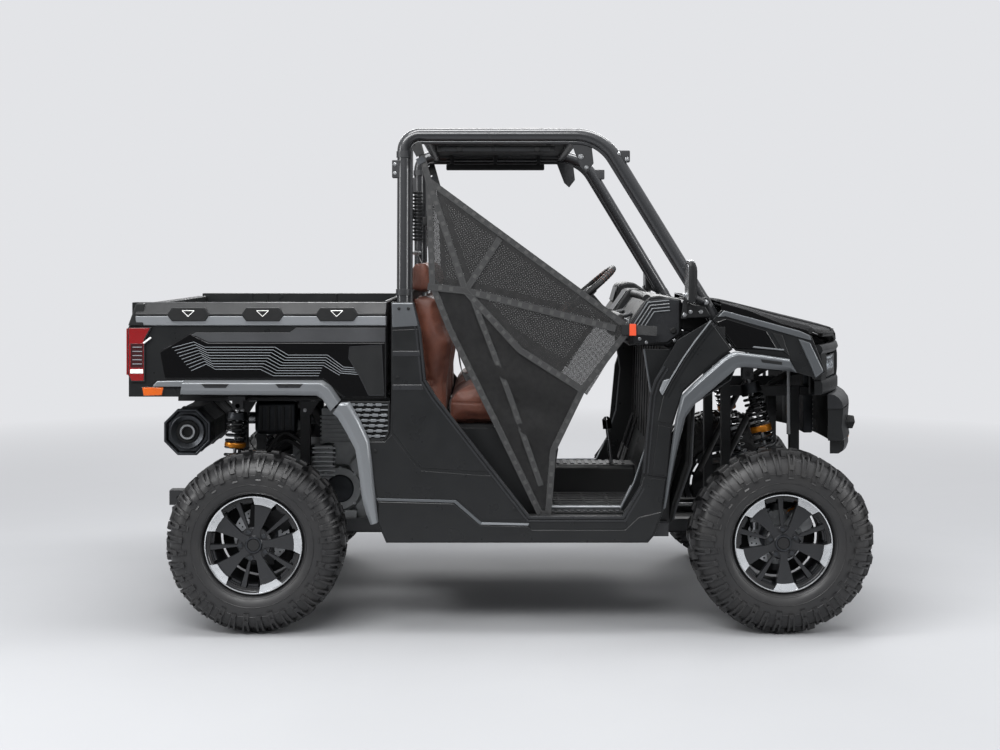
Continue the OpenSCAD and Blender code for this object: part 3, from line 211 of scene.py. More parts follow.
def painted(name, base, rough, metallic=0.0, coat=0.0, flake=0.0):
    """Smooth paint, with orange peel and, where asked, metallic flakes."""
    n = Nodes(name)
    colour = varied(n, base, 0.05, 5.0)
    if flake:
        light = tuple(min(1.0, c * (1 + flake)) for c in base[:3]) + (1.0,)
        colour = n.mixed(n.ranged(n.cells(1500.0), 0.0, 0.6, 0.1, 0.7), colour, light)
    n.colour(colour)
    n.rough(rough * 0.9, rough * 1.1, 6.0)
    n.set(Metallic=metallic, Coat_Weight=coat, Coat_Roughness=0.04)
    n.bump(n.noise(260.0, 2.0), 0.00006, 0.5)
    return n.material


def metal(name, base, low, high, brushed=0.0, cast=0.0):
    """Bare metal, turned or brushed where brushed is a line spacing, sand cast where cast is a grain size."""
    n = Nodes(name)
    n.colour(varied(n, base, 0.08, 22.0))
    n.rough(low, high, 40.0)
    n.set(Metallic=1.0)
    if brushed:
        n.bump(n.noise(1.0 / brushed, 4.0, place=n.stretched((1.0, 0.05, 1.0))), 0.00006, 0.5)
    if cast:
        n.bump(n.noise(1.0 / cast, 3.0), 0.0005, 0.5)
    return n.material


def rubber():
    n = Nodes("tyre_rubber")
    dust = n.ranged(n.noise(7.0, 5.0), 0.0, 0.5, 0.45, 0.75)
    n.colour(n.mixed(dust, srgb(30, 30, 31), srgb(47, 46, 45)))
    n.rough(0.38, 0.56, 18.0)
    n.bump(n.noise(420.0, 3.0), 0.0003, 0.5)
    n.bump(n.noise(60.0, 2.0), 0.0006, 0.35)
    return n.material


def leather():
    """Brown upholstery with a pebbled grain and darker creases."""
    n = Nodes("leather_brown")
    grain = n.cells(330.0, "DISTANCE_TO_EDGE")
    patch = n.mixed(n.ranged(n.noise(11.0), 0.0, 1.0, 0.35, 0.65), srgb(90, 48, 34), srgb(112, 62, 44))
    n.colour(n.mixed(n.ranged(grain, 1.0, 0.0, 0.0, 0.09), patch, srgb(60, 31, 22)))
    n.rough(0.36, 0.52, 30.0)
    n.bump(n.ranged(grain, 0.0, 1.0, 0.0, 0.16), 0.00045, 0.7)
    n.bump(n.noise(46.0, 2.0), 0.0012, 0.3)
    n.set(Sheen_Weight=0.08)
    return n.material


def webbing(name, base, across=0.0022):
    """Woven strap or cloth: two crossed bands of threads."""
    n = Nodes(name)
    weave = n.maths("MULTIPLY", n.waves(0.32 / across, "X"), n.waves(0.32 / across, "Z"))
    dark = tuple(c * 0.55 for c in base[:3]) + (1.0,)
    n.colour(n.mixed(weave, dark, base))
    n.rough(0.72, 0.86, 40.0)
    n.bump(weave, 0.0004, 0.8)
    n.set(Sheen_Weight=0.25, Sheen_Roughness=0.5)
    return n.material


def lens(name, base, glow=0.0, rough=0.08):
    """Coloured lamp plastic over fine prisms."""
    n = Nodes(name)
    prisms = n.waves(90.0, "Z")
    n.colour(n.mixed(prisms, tuple(c * 0.6 for c in base[:3]) + (1.0,), base))
    n.set(Roughness=rough, Coat_Weight=1.0, Coat_Roughness=0.03, Transmission_Weight=0.25, IOR=1.5)
    n.bump(prisms, 0.0004, 0.5)
    if glow:
        n.set(Emission_Color=base, Emission_Strength=glow)
    return n.material


def cover_glass():
    """Clear lamp cover."""
    n = Nodes("clear_cover")
    n.colour(varied(n, srgb(236, 240, 244), 0.01))
    n.set(Roughness=0.03, Transmission_Weight=1.0, IOR=1.2, Coat_Weight=0.5)
    n.bump(n.noise(30.0), 0.0001, 0.3)
    return n.material


def carpet_mat():
    """Ribbed rubber floor mat."""
    n = Nodes("floor_mat")
    n.colour(varied(n, srgb(38, 39, 40), 0.12))
    n.rough(0.6, 0.8)
    n.bump(n.waves(70.0, "Y"), 0.0009, 0.7)
    n.bump(n.noise(700.0), 0.0002, 0.5)
    return n.material


M = {
    "panel": moulded("panel_plastic", srgb(25, 26, 27), 0.26, 0.36, 0.7),
    "trim": moulded("trim_plastic", srgb(21, 22, 23), 0.4, 0.52, 1.1),
    "fine": moulded("fine_plastic", srgb(38, 39, 41), 0.26, 0.34, 0.4),
    "inset": moulded("inset_plastic", srgb(62, 63, 65), 0.3, 0.4, 0.4),
    # Darkest plastic: real black parts, and also painted shade in the discs' holes, behind the wheels'
    # windows and in the bed pockets
    "deep": moulded("deep_plastic_and_painted_shade", srgb(13, 14, 15), 0.6, 0.75),
    "flare": painted("flare_paint", srgb(112, 115, 118), 0.34, 0.45, 0.25, 0.3),
    "flare_dark": painted("front_flare_paint", srgb(84, 87, 90), 0.34, 0.45, 0.25, 0.3),
    "band": painted("rail_band_paint", srgb(128, 131, 134), 0.34, 0.45, 0.2, 0.3),
    "gloss": painted("gloss_black", srgb(4, 4, 5), 0.07, 0.0, 0.15),
    "line": painted("line_grey", srgb(126, 130, 134), 0.4),
    "cage": painted("cage_paint", srgb(46, 47, 49), 0.26, 0.25, 0.3),
    "frame": painted("frame_paint", srgb(40, 41, 43), 0.42, 0.1),
    "rim": painted("rim_paint", srgb(34, 35, 37), 0.3, 0.4, 0.3, 0.4),
    "machined": metal("machined_alloy", srgb(222, 224, 226), 0.2, 0.3, brushed=0.0012),
    "steel": metal("zinc_steel", srgb(186, 188, 190), 0.26, 0.4),
    "cast": metal("cast_alloy", srgb(150, 152, 153), 0.42, 0.6, cast=0.003),
    "dark_metal": metal("dark_steel", srgb(70, 72, 75), 0.34, 0.5, cast=0.006),
    "orange": painted("orange_anodised", srgb(205, 128, 34), 0.3, 0.6),
    "rubber": rubber(),
    "leather": leather(),
    "mesh": webbing("net_mesh", srgb(16, 16, 17), 0.0016),
    "cloth": webbing("net_cloth", srgb(30, 30, 31), 0.0012),
    "strap": webbing("grey_webbing", srgb(44, 45, 46)),
    "belt": webbing("black_webbing", srgb(34, 34, 36)),
    "thread": painted("stitching", srgb(58, 58, 58), 0.8),
    "mat": carpet_mat(),
    "red": lens("lamp_red", srgb(150, 8, 14), 0.03),
    "lamp_dark": lens("lamp_dark_red", srgb(58, 6, 10)),
    "amber": lens("lamp_amber", srgb(232, 104, 18), 0.1),
    "bar": painted("lamp_bar", srgb(232, 232, 230), 0.3),
    "lens": lens("projector_glass", srgb(168, 178, 188), 0.0, 0.04),
    "glass": cover_glass(),
    "buckle": painted("buckle_orange", srgb(206, 74, 40), 0.4),
    "spring": painted("spring_black", srgb(34, 35, 37), 0.24, 0.3, 0.4),
    "screen": painted("screen_black", srgb(10, 11, 13), 0.08, 0.0, 1.0),
}


# Forms: meshes put together from bevelled prisms, tubes, rings and lofts


class Form:
    """A mesh in the making. What is drawn on the right side is doubled by mirrored()."""

    def __init__(self):
        self.bm = bmesh.new()
        self.materials = []

    def add(self, part, material, bevel=0.0, segments=2, angle=28):
        """Takes in a closed bmesh, with its sharp edges rounded."""
        bmesh.ops.recalc_face_normals(part, faces=part.faces)
        if bevel:
            sharp = [e for e in part.edges if e.is_manifold and e.calc_face_angle(0) > math.radians(angle)]
            bmesh.ops.bevel(
                part, geom=sharp, offset=bevel, segments=segments, profile=0.5, affect="EDGES",
                            clamp_overlap=True
            )
        if material not in self.materials:
            self.materials.append(material)
        for face in part.faces:
            face.material_index = self.materials.index(material)
            face.smooth = True
        mesh = bpy.data.meshes.new("part")
        part.to_mesh(mesh)
        part.free()
        self.bm.from_mesh(mesh)
        bpy.data.meshes.remove(mesh)

    def prism(self, points, run, material, bevel=0.0, segments=2):
        """A closed prism over a flat outline, run along a vector."""
        part = bmesh.new()
        run = Vector(run)
        near = [part.verts.new(p) for p in points]
        far = [part.verts.new(Vector(p) + run) for p in points]
        part.faces.new(near)
        part.faces.new(far[::-1])
        for i, vert in enumerate(near):
            j = (i + 1) % len(near)
            part.faces.new((vert, near[j], far[j], far[i]))
        self.add(part, material, bevel, segments)

    def slab(self, outline, y0, y1, material, bevel=0.003, segments=2):
        """A prism over an outline in the side view."""
        self.prism([(x, y0, z) for x, z in outline], (0, y1 - y0, 0), material, bevel, segments)

    def across(self, outline, x0, x1, material, bevel=0.003, segments=2):
        """A prism over an outline of (y, z) points."""
        self.prism([(x0, y, z) for y, z in outline], (x1 - x0, 0, 0), material, bevel, segments)

    def plan(self, outline, z0, z1, material, bevel=0.003, segments=2):
        """A prism over an outline of (x, y) points."""
        self.prism([(x, y, z0) for x, y in outline], (0, 0, z1 - z0), material, bevel, segments)

    def block(self, low, high, material, bevel=0.002, segments=2):
        (x0, y0, z0), (x1, y1, z1) = low, high
        self.plan([(x0, y0), (x1, y0), (x1, y1), (x0, y1)], z0, z1, material, bevel, segments)

    def loft(self, sections, material, bevel=0.0, caps=True):
        """A closed skin through rings of the same number of points."""
        part = bmesh.new()
        rings = [[part.verts.new(p) for p in section] for section in sections]
        count = len(rings[0])
        for a, b in zip(rings, rings[1:]):
            for i in range(count):
                j = (i + 1) % count
                part.faces.new((a[i], a[j], b[j], b[i]))
        if caps:
            part.faces.new(rings[0])
            part.faces.new(rings[-1][::-1])
        self.add(part, material, bevel)

    def tube(self, path, radius, material, sides=12, caps=True):
        """A round bar along a path. The radius may be a list, one for each point."""
        path = [Vector(p) for p in path]
        radii = radius if isinstance(radius, (list, tuple)) else [radius] * len(path)
        side = None
        sections = []
        for i, point in enumerate(path):
            along = (path[min(i + 1, len(path) - 1)] - path[max(i - 1, 0)]).normalized()
            if side is None:
                side = along.orthogonal().normalized()
            side = (side - along * side.dot(along)).normalized()
            other = along.cross(side)
            turns = [k * math.tau / sides for k in range(sides)]
            sections.append([point + radii[i] * (math.cos(t) * side + math.sin(t) * other) for t in turns])
        self.loft(sections, material, caps=caps)

    def ring(self, profile, centre, axis, material, steps=72, closed=True, spin=None):
        """A profile of (radius, distance along the axis) points, turned round the axis."""
        part = bmesh.new()
        axis = Vector(axis).normalized()
        side = axis.orthogonal().normalized() if spin is None else Vector(spin)
        other = axis.cross(side)
        centre = Vector(centre)
        rings = []
        for k in range(steps):
            t = k * math.tau / steps
            out = math.cos(t) * side + math.sin(t) * other
            rings.append([part.verts.new(centre + r * out + a * axis) for r, a in profile])
        count = len(profile)
        for k in range(steps):
            a, b = rings[k], rings[(k + 1) % steps]
            for i in range(count if closed else count - 1):
                j = (i + 1) % count
                part.faces.new((a[i], a[j], b[j], b[i]))
        bmesh.ops.remove_doubles(part, verts=part.verts, dist=1e-6)
        self.add(part, material)

    def disc(self, centre, axis, radius, height, material, sides=20, chamfer=0.001):
        """A short round boss along an axis."""
        axis = Vector(axis).normalized()
        centre = Vector(centre)
        levels = [(radius, 0), (radius, height - chamfer), (radius - chamfer, height)]
        side = axis.orthogonal().normalized()
        other = axis.cross(side)
        turns = [k * math.tau / sides for k in range(sides)]
        sections = [
            [centre + r * (math.cos(t) * side + math.sin(t) * other) + h * axis for t in turns] for r,
                    h in levels
        ]
        self.loft(sections, material)

    def bolt(self, centre, axis, radius, material=None):
        """A flange bolt's head on a surface."""
        axis = Vector(axis).normalized()
        self.disc(centre, axis, radius * 1.35, radius * 0.25, material or M["steel"], 16, radius * 0.1)
        self.disc(Vector(centre) + axis * radius * 0.2, axis, radius, radius * 0.7, material or M["steel"],
                  6, radius * 0.12)

    def strip(self, path, width, normal, height, material, bevel=0.0):
        """A flat strap along a path, height thick along its normals."""
        path = [Vector(p) for p in path]
        normals = normal if isinstance(normal, list) else [Vector(normal)] * len(path)
        sections = []
        for i, point in enumerate(path):
            along = (path[min(i + 1, len(path) - 1)] - path[max(i - 1, 0)]).normalized()
            n = Vector(normals[i]).normalized()
            half = along.cross(n).normalized() * width / 2
            sections.append([point - half, point + half, point + half + n * height,
                             point - half + n * height])
        self.loft(sections, material, bevel)

    def skin(self, rows, thickness, material, bevel=0.0):
        """A shell over a grid of points, thick on the side that its rows and columns turn away from."""
        part = bmesh.new()
        grid = [[part.verts.new(p) for p in row] for row in rows]
        for a, b in zip(grid, grid[1:]):
            for i in range(len(a) - 1):
                part.faces.new((a[i], a[i + 1], b[i + 1], b[i]))
        bmesh.ops.solidify(part, geom=part.faces[:], thickness=thickness)
        self.add(part, material, bevel)

    def mirrored(self):
        """Doubles everything so far on the other side of the centre plane."""
        copy = bmesh.ops.duplicate(self.bm, geom=self.bm.verts[:] + self.bm.edges[:]
                                   + self.bm.faces[:])["geom"]
        for vert in (g for g in copy if isinstance(g, bmesh.types.BMVert)):
            vert.co.y = -vert.co.y
        bmesh.ops.reverse_faces(self.bm, faces=[g for g in copy if isinstance(g, bmesh.types.BMFace)])
        return self

    def moved(self, matrix):
        self.bm.transform(matrix)
        if matrix.determinant() < 0:
            bmesh.ops.reverse_faces(self.bm, faces=self.bm.faces[:])
        return self

    def mesh(self, name):
        mesh = bpy.data.meshes.new(name)
        self.bm.to_mesh(mesh)
        self.bm.free()
        for material in self.materials:
            mesh.materials.append(material)
        mesh.set_sharp_from_angle(angle=math.radians(38))
        return mesh


def piece(name, form, body, replaces=()):
    """The form as a piece that rides on a body."""
    obj = bpy.data.objects.new(name, form.mesh(name))
    bpy.context.scene.collection.objects.link(obj)
    obj.modifiers.new("Normals", "WEIGHTED_NORMAL").keep_sharp = True
    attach(obj, body)
    if replaces:
        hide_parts(*replaces)
    return obj


def dress(material, *nodes):
    """A better finish for CAD nodes that stay as they are."""
    for node in nodes:
        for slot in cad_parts[node].material_slots:
            slot.material = material


def smooth_between(points, steps):
    """A smooth curve through points, with steps spans between each two."""
    points = [Vector(p) for p in points]
    ends = [points[0] * 2 - points[1], *points, points[-1] * 2 - points[-2]]
    curve = []
    for a, b, c, d in zip(ends, ends[1:], ends[2:], ends[3:]):
        for k in range(steps):
            t = k / steps
            curve.append(
                0.5 * ((2 * b) + (c - a) * t + (2 * a - 5 * b + 4 * c - d) * t * t + (3 * b - a - 3 * c + d)
                       * t ** 3)
            )
    curve.append(points[-1])
    return curve


# Camera and stage

PHOTO_DISTANCE = 6.2
PHOTO_FOCAL = 1430
PHOTO_CENTRE = (490, 256)
PHOTO_SIZE = (1000, 750)
CAMERA_PLACE = (-0.055, -PHOTO_DISTANCE, 1.44)
SURROUND = (0.96, 0.97, 1.0, 1.0)
SURROUND_SEEN = 0.8


def camera():
    data = bpy.data.cameras.new("camera")
    data.sensor_width = 36
    data.lens = PHOTO_FOCAL / PHOTO_SIZE[0] * data.sensor_width
    data.shift_x = (PHOTO_SIZE[0] / 2 - PHOTO_CENTRE[0]) / PHOTO_SIZE[0]
    data.shift_y = (PHOTO_CENTRE[1] - PHOTO_SIZE[1] / 2) / PHOTO_SIZE[0]
    obj = bpy.data.objects.new("camera", data)
    obj.location = CAMERA_PLACE
    obj.rotation_euler = (math.pi / 2, 0, 0)
    bpy.context.scene.collection.objects.link(obj)
    bpy.context.scene.camera = obj


def area_lamp(name, place, target, size, watts):
    data = bpy.data.lights.new(name, "AREA")
    data.shape = "RECTANGLE"
    data.size, data.size_y = size
    data.energy = watts
    obj = bpy.data.objects.new(name, data)
    obj.location = place
    obj.rotation_euler = (Vector(target) - Vector(place)).to_track_quat("-Z", "Y").to_euler()
    bpy.context.scene.collection.objects.link(obj)


def stage():
    """A pale floor, a pale surround and soft lamps."""
    mesh = bpy.data.meshes.new("floor")
    reach = 40.0
    mesh.from_pydata([(-reach, -reach, 0), (reach, -reach, 0), (reach, reach, 0), (-reach, reach, 0)], [],
                     [(0, 1, 2, 3)])
    floor = bpy.data.objects.new("floor", mesh)
    bpy.context.scene.collection.objects.link(floor)
    n = Nodes("floor_pale")
    n.colour(varied(n, srgb(158, 159, 161), 0.015, 0.6))
    n.rough(0.55, 0.65, 1.5)
    n.set(Specular_IOR_Level=0.2)
    # Far from the vehicle the floor takes the surround's colour, so no horizon shows
    away = n.add("ShaderNodeVectorMath", operation="LENGTH")
    n.link(n.place, away.inputs[0])
    far = n.ranged(away.outputs["Value"], 0.0, 1.0, 2.6, 7.5)
    glow = n.add("ShaderNodeEmission")
    glow.inputs["Color"].default_value = SURROUND
    direct = n.add("ShaderNodeLightPath").outputs["Is Camera Ray"]
    n.link(n.ranged(direct, 0.14, SURROUND_SEEN), glow.inputs["Strength"])
    blend = n.add("ShaderNodeMixShader")
    n.link(far, blend.inputs[0])
    n.link(n.shader.outputs[0], blend.inputs[1])
    n.link(glow.outputs[0], blend.inputs[2])
    n.link(blend.outputs[0], n.tree.nodes["Material Output"].inputs["Surface"])
    mesh.materials.append(n.material)

    world = bpy.data.worlds.new("studio")
    bpy.context.scene.world = world
    world.use_nodes = True
    nodes, links = world.node_tree.nodes, world.node_tree.links
    background = nodes["Background"]
    path = nodes.new("ShaderNodeLightPath")
    seen = nodes.new("ShaderNodeMath")
    seen.operation = "MAXIMUM"
    links.new(path.outputs["Is Camera Ray"], seen.inputs[0])
    links.new(path.outputs["Is Transmission Ray"], seen.inputs[1])
    strength = nodes.new("ShaderNodeMapRange")
    # Brighter overhead than at eye level, so that edges and curved tops catch the light
    place = nodes.new("ShaderNodeTexCoord")
    split = nodes.new("ShaderNodeSeparateXYZ")
    links.new(place.outputs["Generated"], split.inputs[0])
    above = nodes.new("ShaderNodeMapRange")
    for key, number in (("From Min", -0.05), ("From Max", 0.7), ("To Min", 0.16), ("To Max", 1.0)):
        above.inputs[key].default_value = number
    links.new(split.outputs["Z"], above.inputs["Value"])
    links.new(above.outputs["Result"], strength.inputs["To Min"])
    strength.inputs["To Max"].default_value = SURROUND_SEEN
    links.new(seen.outputs[0], strength.inputs["Value"])
    links.new(strength.outputs["Result"], background.inputs["Strength"])
    background.inputs["Color"].default_value = SURROUND

    area_lamp("key", (-1.6, -4.4, 4.4), (0, 0, 0.8), (4.6, 1.2), 260)
    area_lamp("top", (0.2, -0.6, 4.6), (0, -0.2, 0.6), (5.0, 1.0), 230)
    area_lamp("front", (5.4, -2.6, 2.2), (0.6, 0, 0.8), (1.2, 2.6), 110)
    area_lamp("rear", (-5.0, -2.4, 2.4), (-0.6, 0, 0.8), (1.2, 2.4), 90)
    area_lamp("far", (0.0, 5.0, 3.4), (0, 0, 0.9), (4.0, 1.4), 120)

    view = bpy.context.scene.view_settings
    view.view_transform = "Standard"


# Wheels


def arc_points(radius, start, end, steps):
    """Points of an arc in the wheel's plane, in degrees."""
    return [
        (radius * math.cos(math.radians(start + (end - start) * k / steps)),
         radius * math.sin(math.radians(start + (end - start) * k / steps)))
        for k in range(steps + 1)
    ]


RIM_R = 188 * MM
LUGS = 36


def carcass(radius, half):
    """The outside of a tyre's carcass, as (radius, distance from the middle plane), from bead to crown."""
    crown = radius - 17 * MM
    points = [
        (168, half / MM - 40), (185, half / MM - 41), (193, half / MM - 33), (200, half / MM - 18),
        (216, half / MM - 8), (238, half / MM - 3), (262, half / MM - 3), (286, half / MM - 9),
        (crown / MM - 22, half / MM - 22), (crown / MM - 8, half / MM - 42), (crown / MM - 1, half / MM - 72),
        (crown / MM, 0),
    ]
    return [(p.x * MM, p.y * MM) for p in smooth_between([(r, a, 0) for r, a in points], 3)]


def on_carcass(profile, share):
    """A point and its outward direction at a share of the way from bead to crown."""
    place = share * (len(profile) - 1)
    i = min(int(place), len(profile) - 2)
    t = place - i
    (r0, a0), (r1, a1) = profile[i], profile[i + 1]
    along = Vector((r1 - r0, a1 - a0)).normalized()
    return Vector((r0 + (r1 - r0) * t, a0 + (a1 - a0) * t)), Vector((-along.y,
            along.x)) * -1 if along.y > 0 else Vector((-along.y, along.x))


def lug_bar(form, profile, turn, side, shares, width, height, slant=0.0, offset=0.0):
    """A bar that follows the carcass over the shoulder, bent to one side by slant and set off by offset."""
    sections = []
    for k, share in enumerate(shares):
        (radius, axial), out = on_carcass(profile, share)
        way = k / (len(shares) - 1)
        half, high = width(way) / 2, height(way)
        middle = turn + (slant * way + offset) / radius
        ring = []
        for across, up in ((-1, -0.004), (-0.94, high - 0.002), (-0.8, high), (0.8, high),
                           (0.94, high - 0.002), (1, -0.004)):
            r = radius + out.x * up
            a = axial + out.y * up
            angle = middle + across * half / radius
            ring.append((r * math.cos(angle), -side * a, r * math.sin(angle)))
        sections.append(ring)
    form.loft(sections, M["rubber"])


def shoulder_lug(form, profile, turn, side, long):
    """Two rails joined by bars, so that a slot or two is left open, as on a mud tyre."""
    start = 0.5 if long else 0.55
    shares = [start + (0.9 - start) * k / 8 for k in range(9)]
    high = lambda way: (2 + 11 * min(1.0, way * 1.3)) * MM
    for rail in (-1, 1):
        lug_bar(form, profile, turn, side, shares, lambda way: (7 + 3 * way) * MM, high,
                slant=rail * 4 * MM, offset=rail * (6.5 if long else 7.5) * MM)
    foot = lambda way: (18 + 12 * way) * MM
    lug_bar(form, profile, turn, side, shares, foot, lambda way: 3 * MM)
    bars = ((0.62, 0.68), (0.84, 0.9)) if long else ((start, start + 0.05), (0.84, 0.9))
    for a, b in bars:
        lug_bar(form, profile, turn, side, [a, (a + b) / 2, b], lambda way: 22 * MM, lambda way: 10 * MM)


def tread_block(form, radius, turn, y, length, width, skew):
    """A block on the crown, skewed in plan."""
    low, high = radius - 22 * MM, radius - 0.5 * MM
    sections = []
    for r, grow in ((low, 3 * MM), (high - 2 * MM, 0), (high, -1.5 * MM)):
        ring = []
        for u, v in ((-1, -1), (1, -1), (1, 1), (-1, 1)):
            along, across = u * (length / 2 + grow), v * (width / 2 + grow)
            angle = turn + (along + across * skew) / radius
            ring.append((r * math.cos(angle), y + across, r * math.sin(angle)))
        sections.append(ring)
    form.loft(sections, M["rubber"])


def tyre_form(radius, width):
    half = width / 2
    form = Form()
    outer = carcass(radius, half)
    inner = [(radius - 30 * MM, 0), (radius - 44 * MM, half - 46 * MM), (262 * MM, half - 16 * MM),
             (216 * MM, half - 24 * MM), (186 * MM, half - 56 * MM), (168 * MM, half - 56 * MM)]
    form.ring([(r, a) for r, a in outer] + [(r, -a) for r, a in reversed(outer[:-1])]
              + [(r, -a) for r, a in reversed(inner[1:])] + inner, (0, 0, 0), (0, 1, 0), M["rubber"], 108)
    # Rings pressed into the sidewall
    for r, a, t in ((203, 15, 2.0), (232, 3.4, 1.4), (268, 3.6, 1.4)):
        for side in SIDES:
            form.ring([(r * MM - t * MM, side * (half - a * MM)), (r * MM, side * (half - a * MM + 1.6 * MM)),
                       (r * MM + t * MM, side * (half - a * MM)), (r * MM, side * (half - a * MM - 3 * MM))],
                      (0, 0, 0), (0, 1, 0), M["rubber"], 108)
    pitch = math.tau / LUGS
    for i in range(LUGS):
        for side in SIDES:
            shoulder_lug(form, outer, (i + (side > 0) / 2) * pitch, side, i % 2 == 0)
        if i % 2 == 0:
            for side in SIDES:
                turn = (i + (side > 0)) * pitch
                tread_block(form, radius, turn, side * 30 * MM, 44 * MM, 50 * MM, side * 0.45)
                tread_block(form, radius, turn + pitch * 0.9, side * 52 * MM, 30 * MM, 26 * MM, -side * 0.3)
    return form


def rim_form(width, first):
    """A wheel with five wide spokes, machined at their ends, outside towards -Y. first is a spoke's angle."""
    form = Form()
    half = width / 2 - 38 * MM
    face = -(half + 2 * MM)
    barrel = 170 * MM
    skin = 6 * MM
    lip = [(barrel - skin, half + 8 * MM), (RIM_R, half + 8 * MM), (RIM_R, half + 3 * MM),
           (barrel - 1 * MM, half + 1 * MM),
           (barrel - 3 * MM, 0), (barrel + 2 * MM, -half + 8 * MM), (RIM_R - 2 * MM, -half + 1 * MM),
           (RIM_R, -half - 8 * MM), (RIM_R - 3 * MM, -half - 11 * MM), (RIM_R - 7 * MM, -half - 9 * MM),
           (RIM_R - 9 * MM, -half + 1 * MM),
           (barrel + 2 * MM, -half + 7 * MM), (barrel - 3 * MM, -half + 20 * MM),
           (barrel - skin - 4 * MM, -half + 40 * MM), (barrel - skin - 4 * MM, half - 10 * MM)]
    form.ring(lip, (0, 0, 0), (0, 1, 0), M["rim"], 96)
    # Bright ring on the lip
    bright = [(RIM_R - 7.5 * MM, -half - 7 * MM), (RIM_R - 6.5 * MM, -half - 11.5 * MM),
              (RIM_R - 3 * MM, -half - 12.5 * MM), (RIM_R - 0.5 * MM, -half - 9 * MM)]
    form.ring(bright, (0, 0, 0), (0, 1, 0), M["machined"], 96)

    def plate(spin, outline, front, depth, material, bevel=0.0015):
        flat = [spin @ Vector((x * MM, front, z * MM)) for x, z in outline]
        form.prism(flat, (0, depth, 0), material, bevel, 2)

    for i in range(5):
        spoke = Matrix.Rotation(-math.radians(first + 72 * i), 4, "Y")
        blade = [(30, -20), (48, -13), (66, -14), (110, -24), (152, -34), *arc_points(156, -12.4, 12.4, 6),
                 (152, 34), (110, 24), (66, 14), (48, 13), (30, 20)]
        plate(spoke, blade, face + 3 * MM, 24 * MM, M["rim"], 0.0022)
        # Machined end of the spoke, flush with the bright ring
        end = arc_points(154, 12.2, -12.2, 6) + arc_points(181.5, -15.2, 15.2, 10)
        plate(spoke, end, face - 6 * MM, 20 * MM, M["machined"], 0.001)
        # Thin rib in the window between two spokes, and the barrel's pockets beside it
        window = Matrix.Rotation(-math.radians(first + 72 * i + 36), 4, "Y")
        rib = [(56, -4), (110, -7), (172, -10.5), (172, 10.5), (110, 7), (56, 4)]
        plate(window, rib, face + 9 * MM, 18 * MM, M["rim"])
        for side in SIDES:
            pocket = arc_points(155, side * 5, side * 19, 5) + arc_points(176, side * 20, side * 4.5, 5)
            plate(window, pocket, face + 24 * MM, 30 * MM, M["rim"])
            ledge = arc_points(163, side * 5, side * 19.5, 5) + arc_points(178, side * 20, side * 4.5, 5)
            plate(window, ledge, face + 14 * MM, 20 * MM, M["rim"])
        nut = window @ Vector((51 * MM, face + 8 * MM, 0))
        form.disc(nut, (0, -1, 0), 13 * MM, 3 * MM, M["rim"], 20)
        form.disc(nut + Vector((0, -2 * MM, 0)), (0, -1, 0), 9 * MM, 7 * MM, M["dark_metal"], 6)
    form.disc((0, face + 28 * MM, 0), (0, -1, 0), 66 * MM, 20 * MM, M["rim"], 48, 0.006)
    form.disc((0, face + 12 * MM, 0), (0, -1, 0), 34 * MM, 14 * MM, M["rim"], 40, 0.003)
    form.ring([(23 * MM, face - 2 * MM), (25 * MM, face - 6.5 * MM), (30 * MM, face - 6.5 * MM),
               (33 * MM, face - 1 * MM)],
              (0, 0, 0), (0, 1, 0), M["dark_metal"], 48)
    form.disc((0, face - 2.2 * MM, 0), (0, -1, 0), 23 * MM, 2.5 * MM, M["gloss"], 40)
    # Hub behind the face
    form.ring([(20 * MM, face + 26 * MM), (44 * MM, face + 26 * MM), (44 * MM, half), (20 * MM, half)],
              (0, 0, 0), (0, 1, 0), M["dark_metal"], 40)
    return form


def brake_disc(form, y):
    """A drilled brake disc, as a steel ring with pairs of holes drawn as dark discs on its face: painted
    shade in place of open holes.
    """
    form.ring([(66 * MM, y), (109 * MM, y), (109 * MM, y + 5 * MM), (66 * MM, y + 5 * MM)], (0, 0, 0),
              (0, 1, 0), M["steel"], 64)
    form.ring([(44 * MM, y + 1 * MM), (70 * MM, y + 1 * MM), (70 * MM, y + 4 * MM), (44 * MM, y + 4 * MM)],
              (0, 0, 0), (0, 1, 0), M["dark_metal"], 48)
    # Holes as dark discs standing just off the face, painted shade where the holes would open
    for i in range(24):
        t = math.tau * i / 24
        for r in (82, 98):
            place = Vector((r * MM * math.cos(t + r / 90), y - 0.4 * MM, r * MM * math.sin(t + r / 90)))
            form.disc(place, (0, -1, 0), 3.4 * MM, 0.6 * MM, M["deep"], 10, 0.0001)


def wheels():
    """Tyres and rims at their bodies. The left side's are the right side's mirrored."""
    for end, low, high, first in (("front", TYRE_F_LOW, TYRE_F_HIGH, 57),
                                  ("rear", TYRE_R_LOW, TYRE_R_HIGH, 4)):
        centre = (low + high) / 2
        radius, width = (high.z - low.z) / 2, high.y - low.y
        for side, name in ((-1, "right"), (1, "left")):
            place = Matrix.Translation((centre.x, -side * centre.y, centre.z)) @ Matrix.Diagonal((1, -side,
                                                                                                  1, 1))
            body = f"wheel_{end}_{name}"
            tyre = tyre_form(radius, width).moved(place)
            piece(f"tyre_{end}_{name}_tread", tyre, body, [f"tyre_{end}_{name}"])
            rim = rim_form(width, first)
            hub_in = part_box(f"rim_{end}_right")[1].y - centre.y
            brake_disc(rim, hub_in - 20 * MM)
            piece(f"rim_{end}_{name}_wheel", rim.moved(place), body, [f"rim_{end}_{name}"])


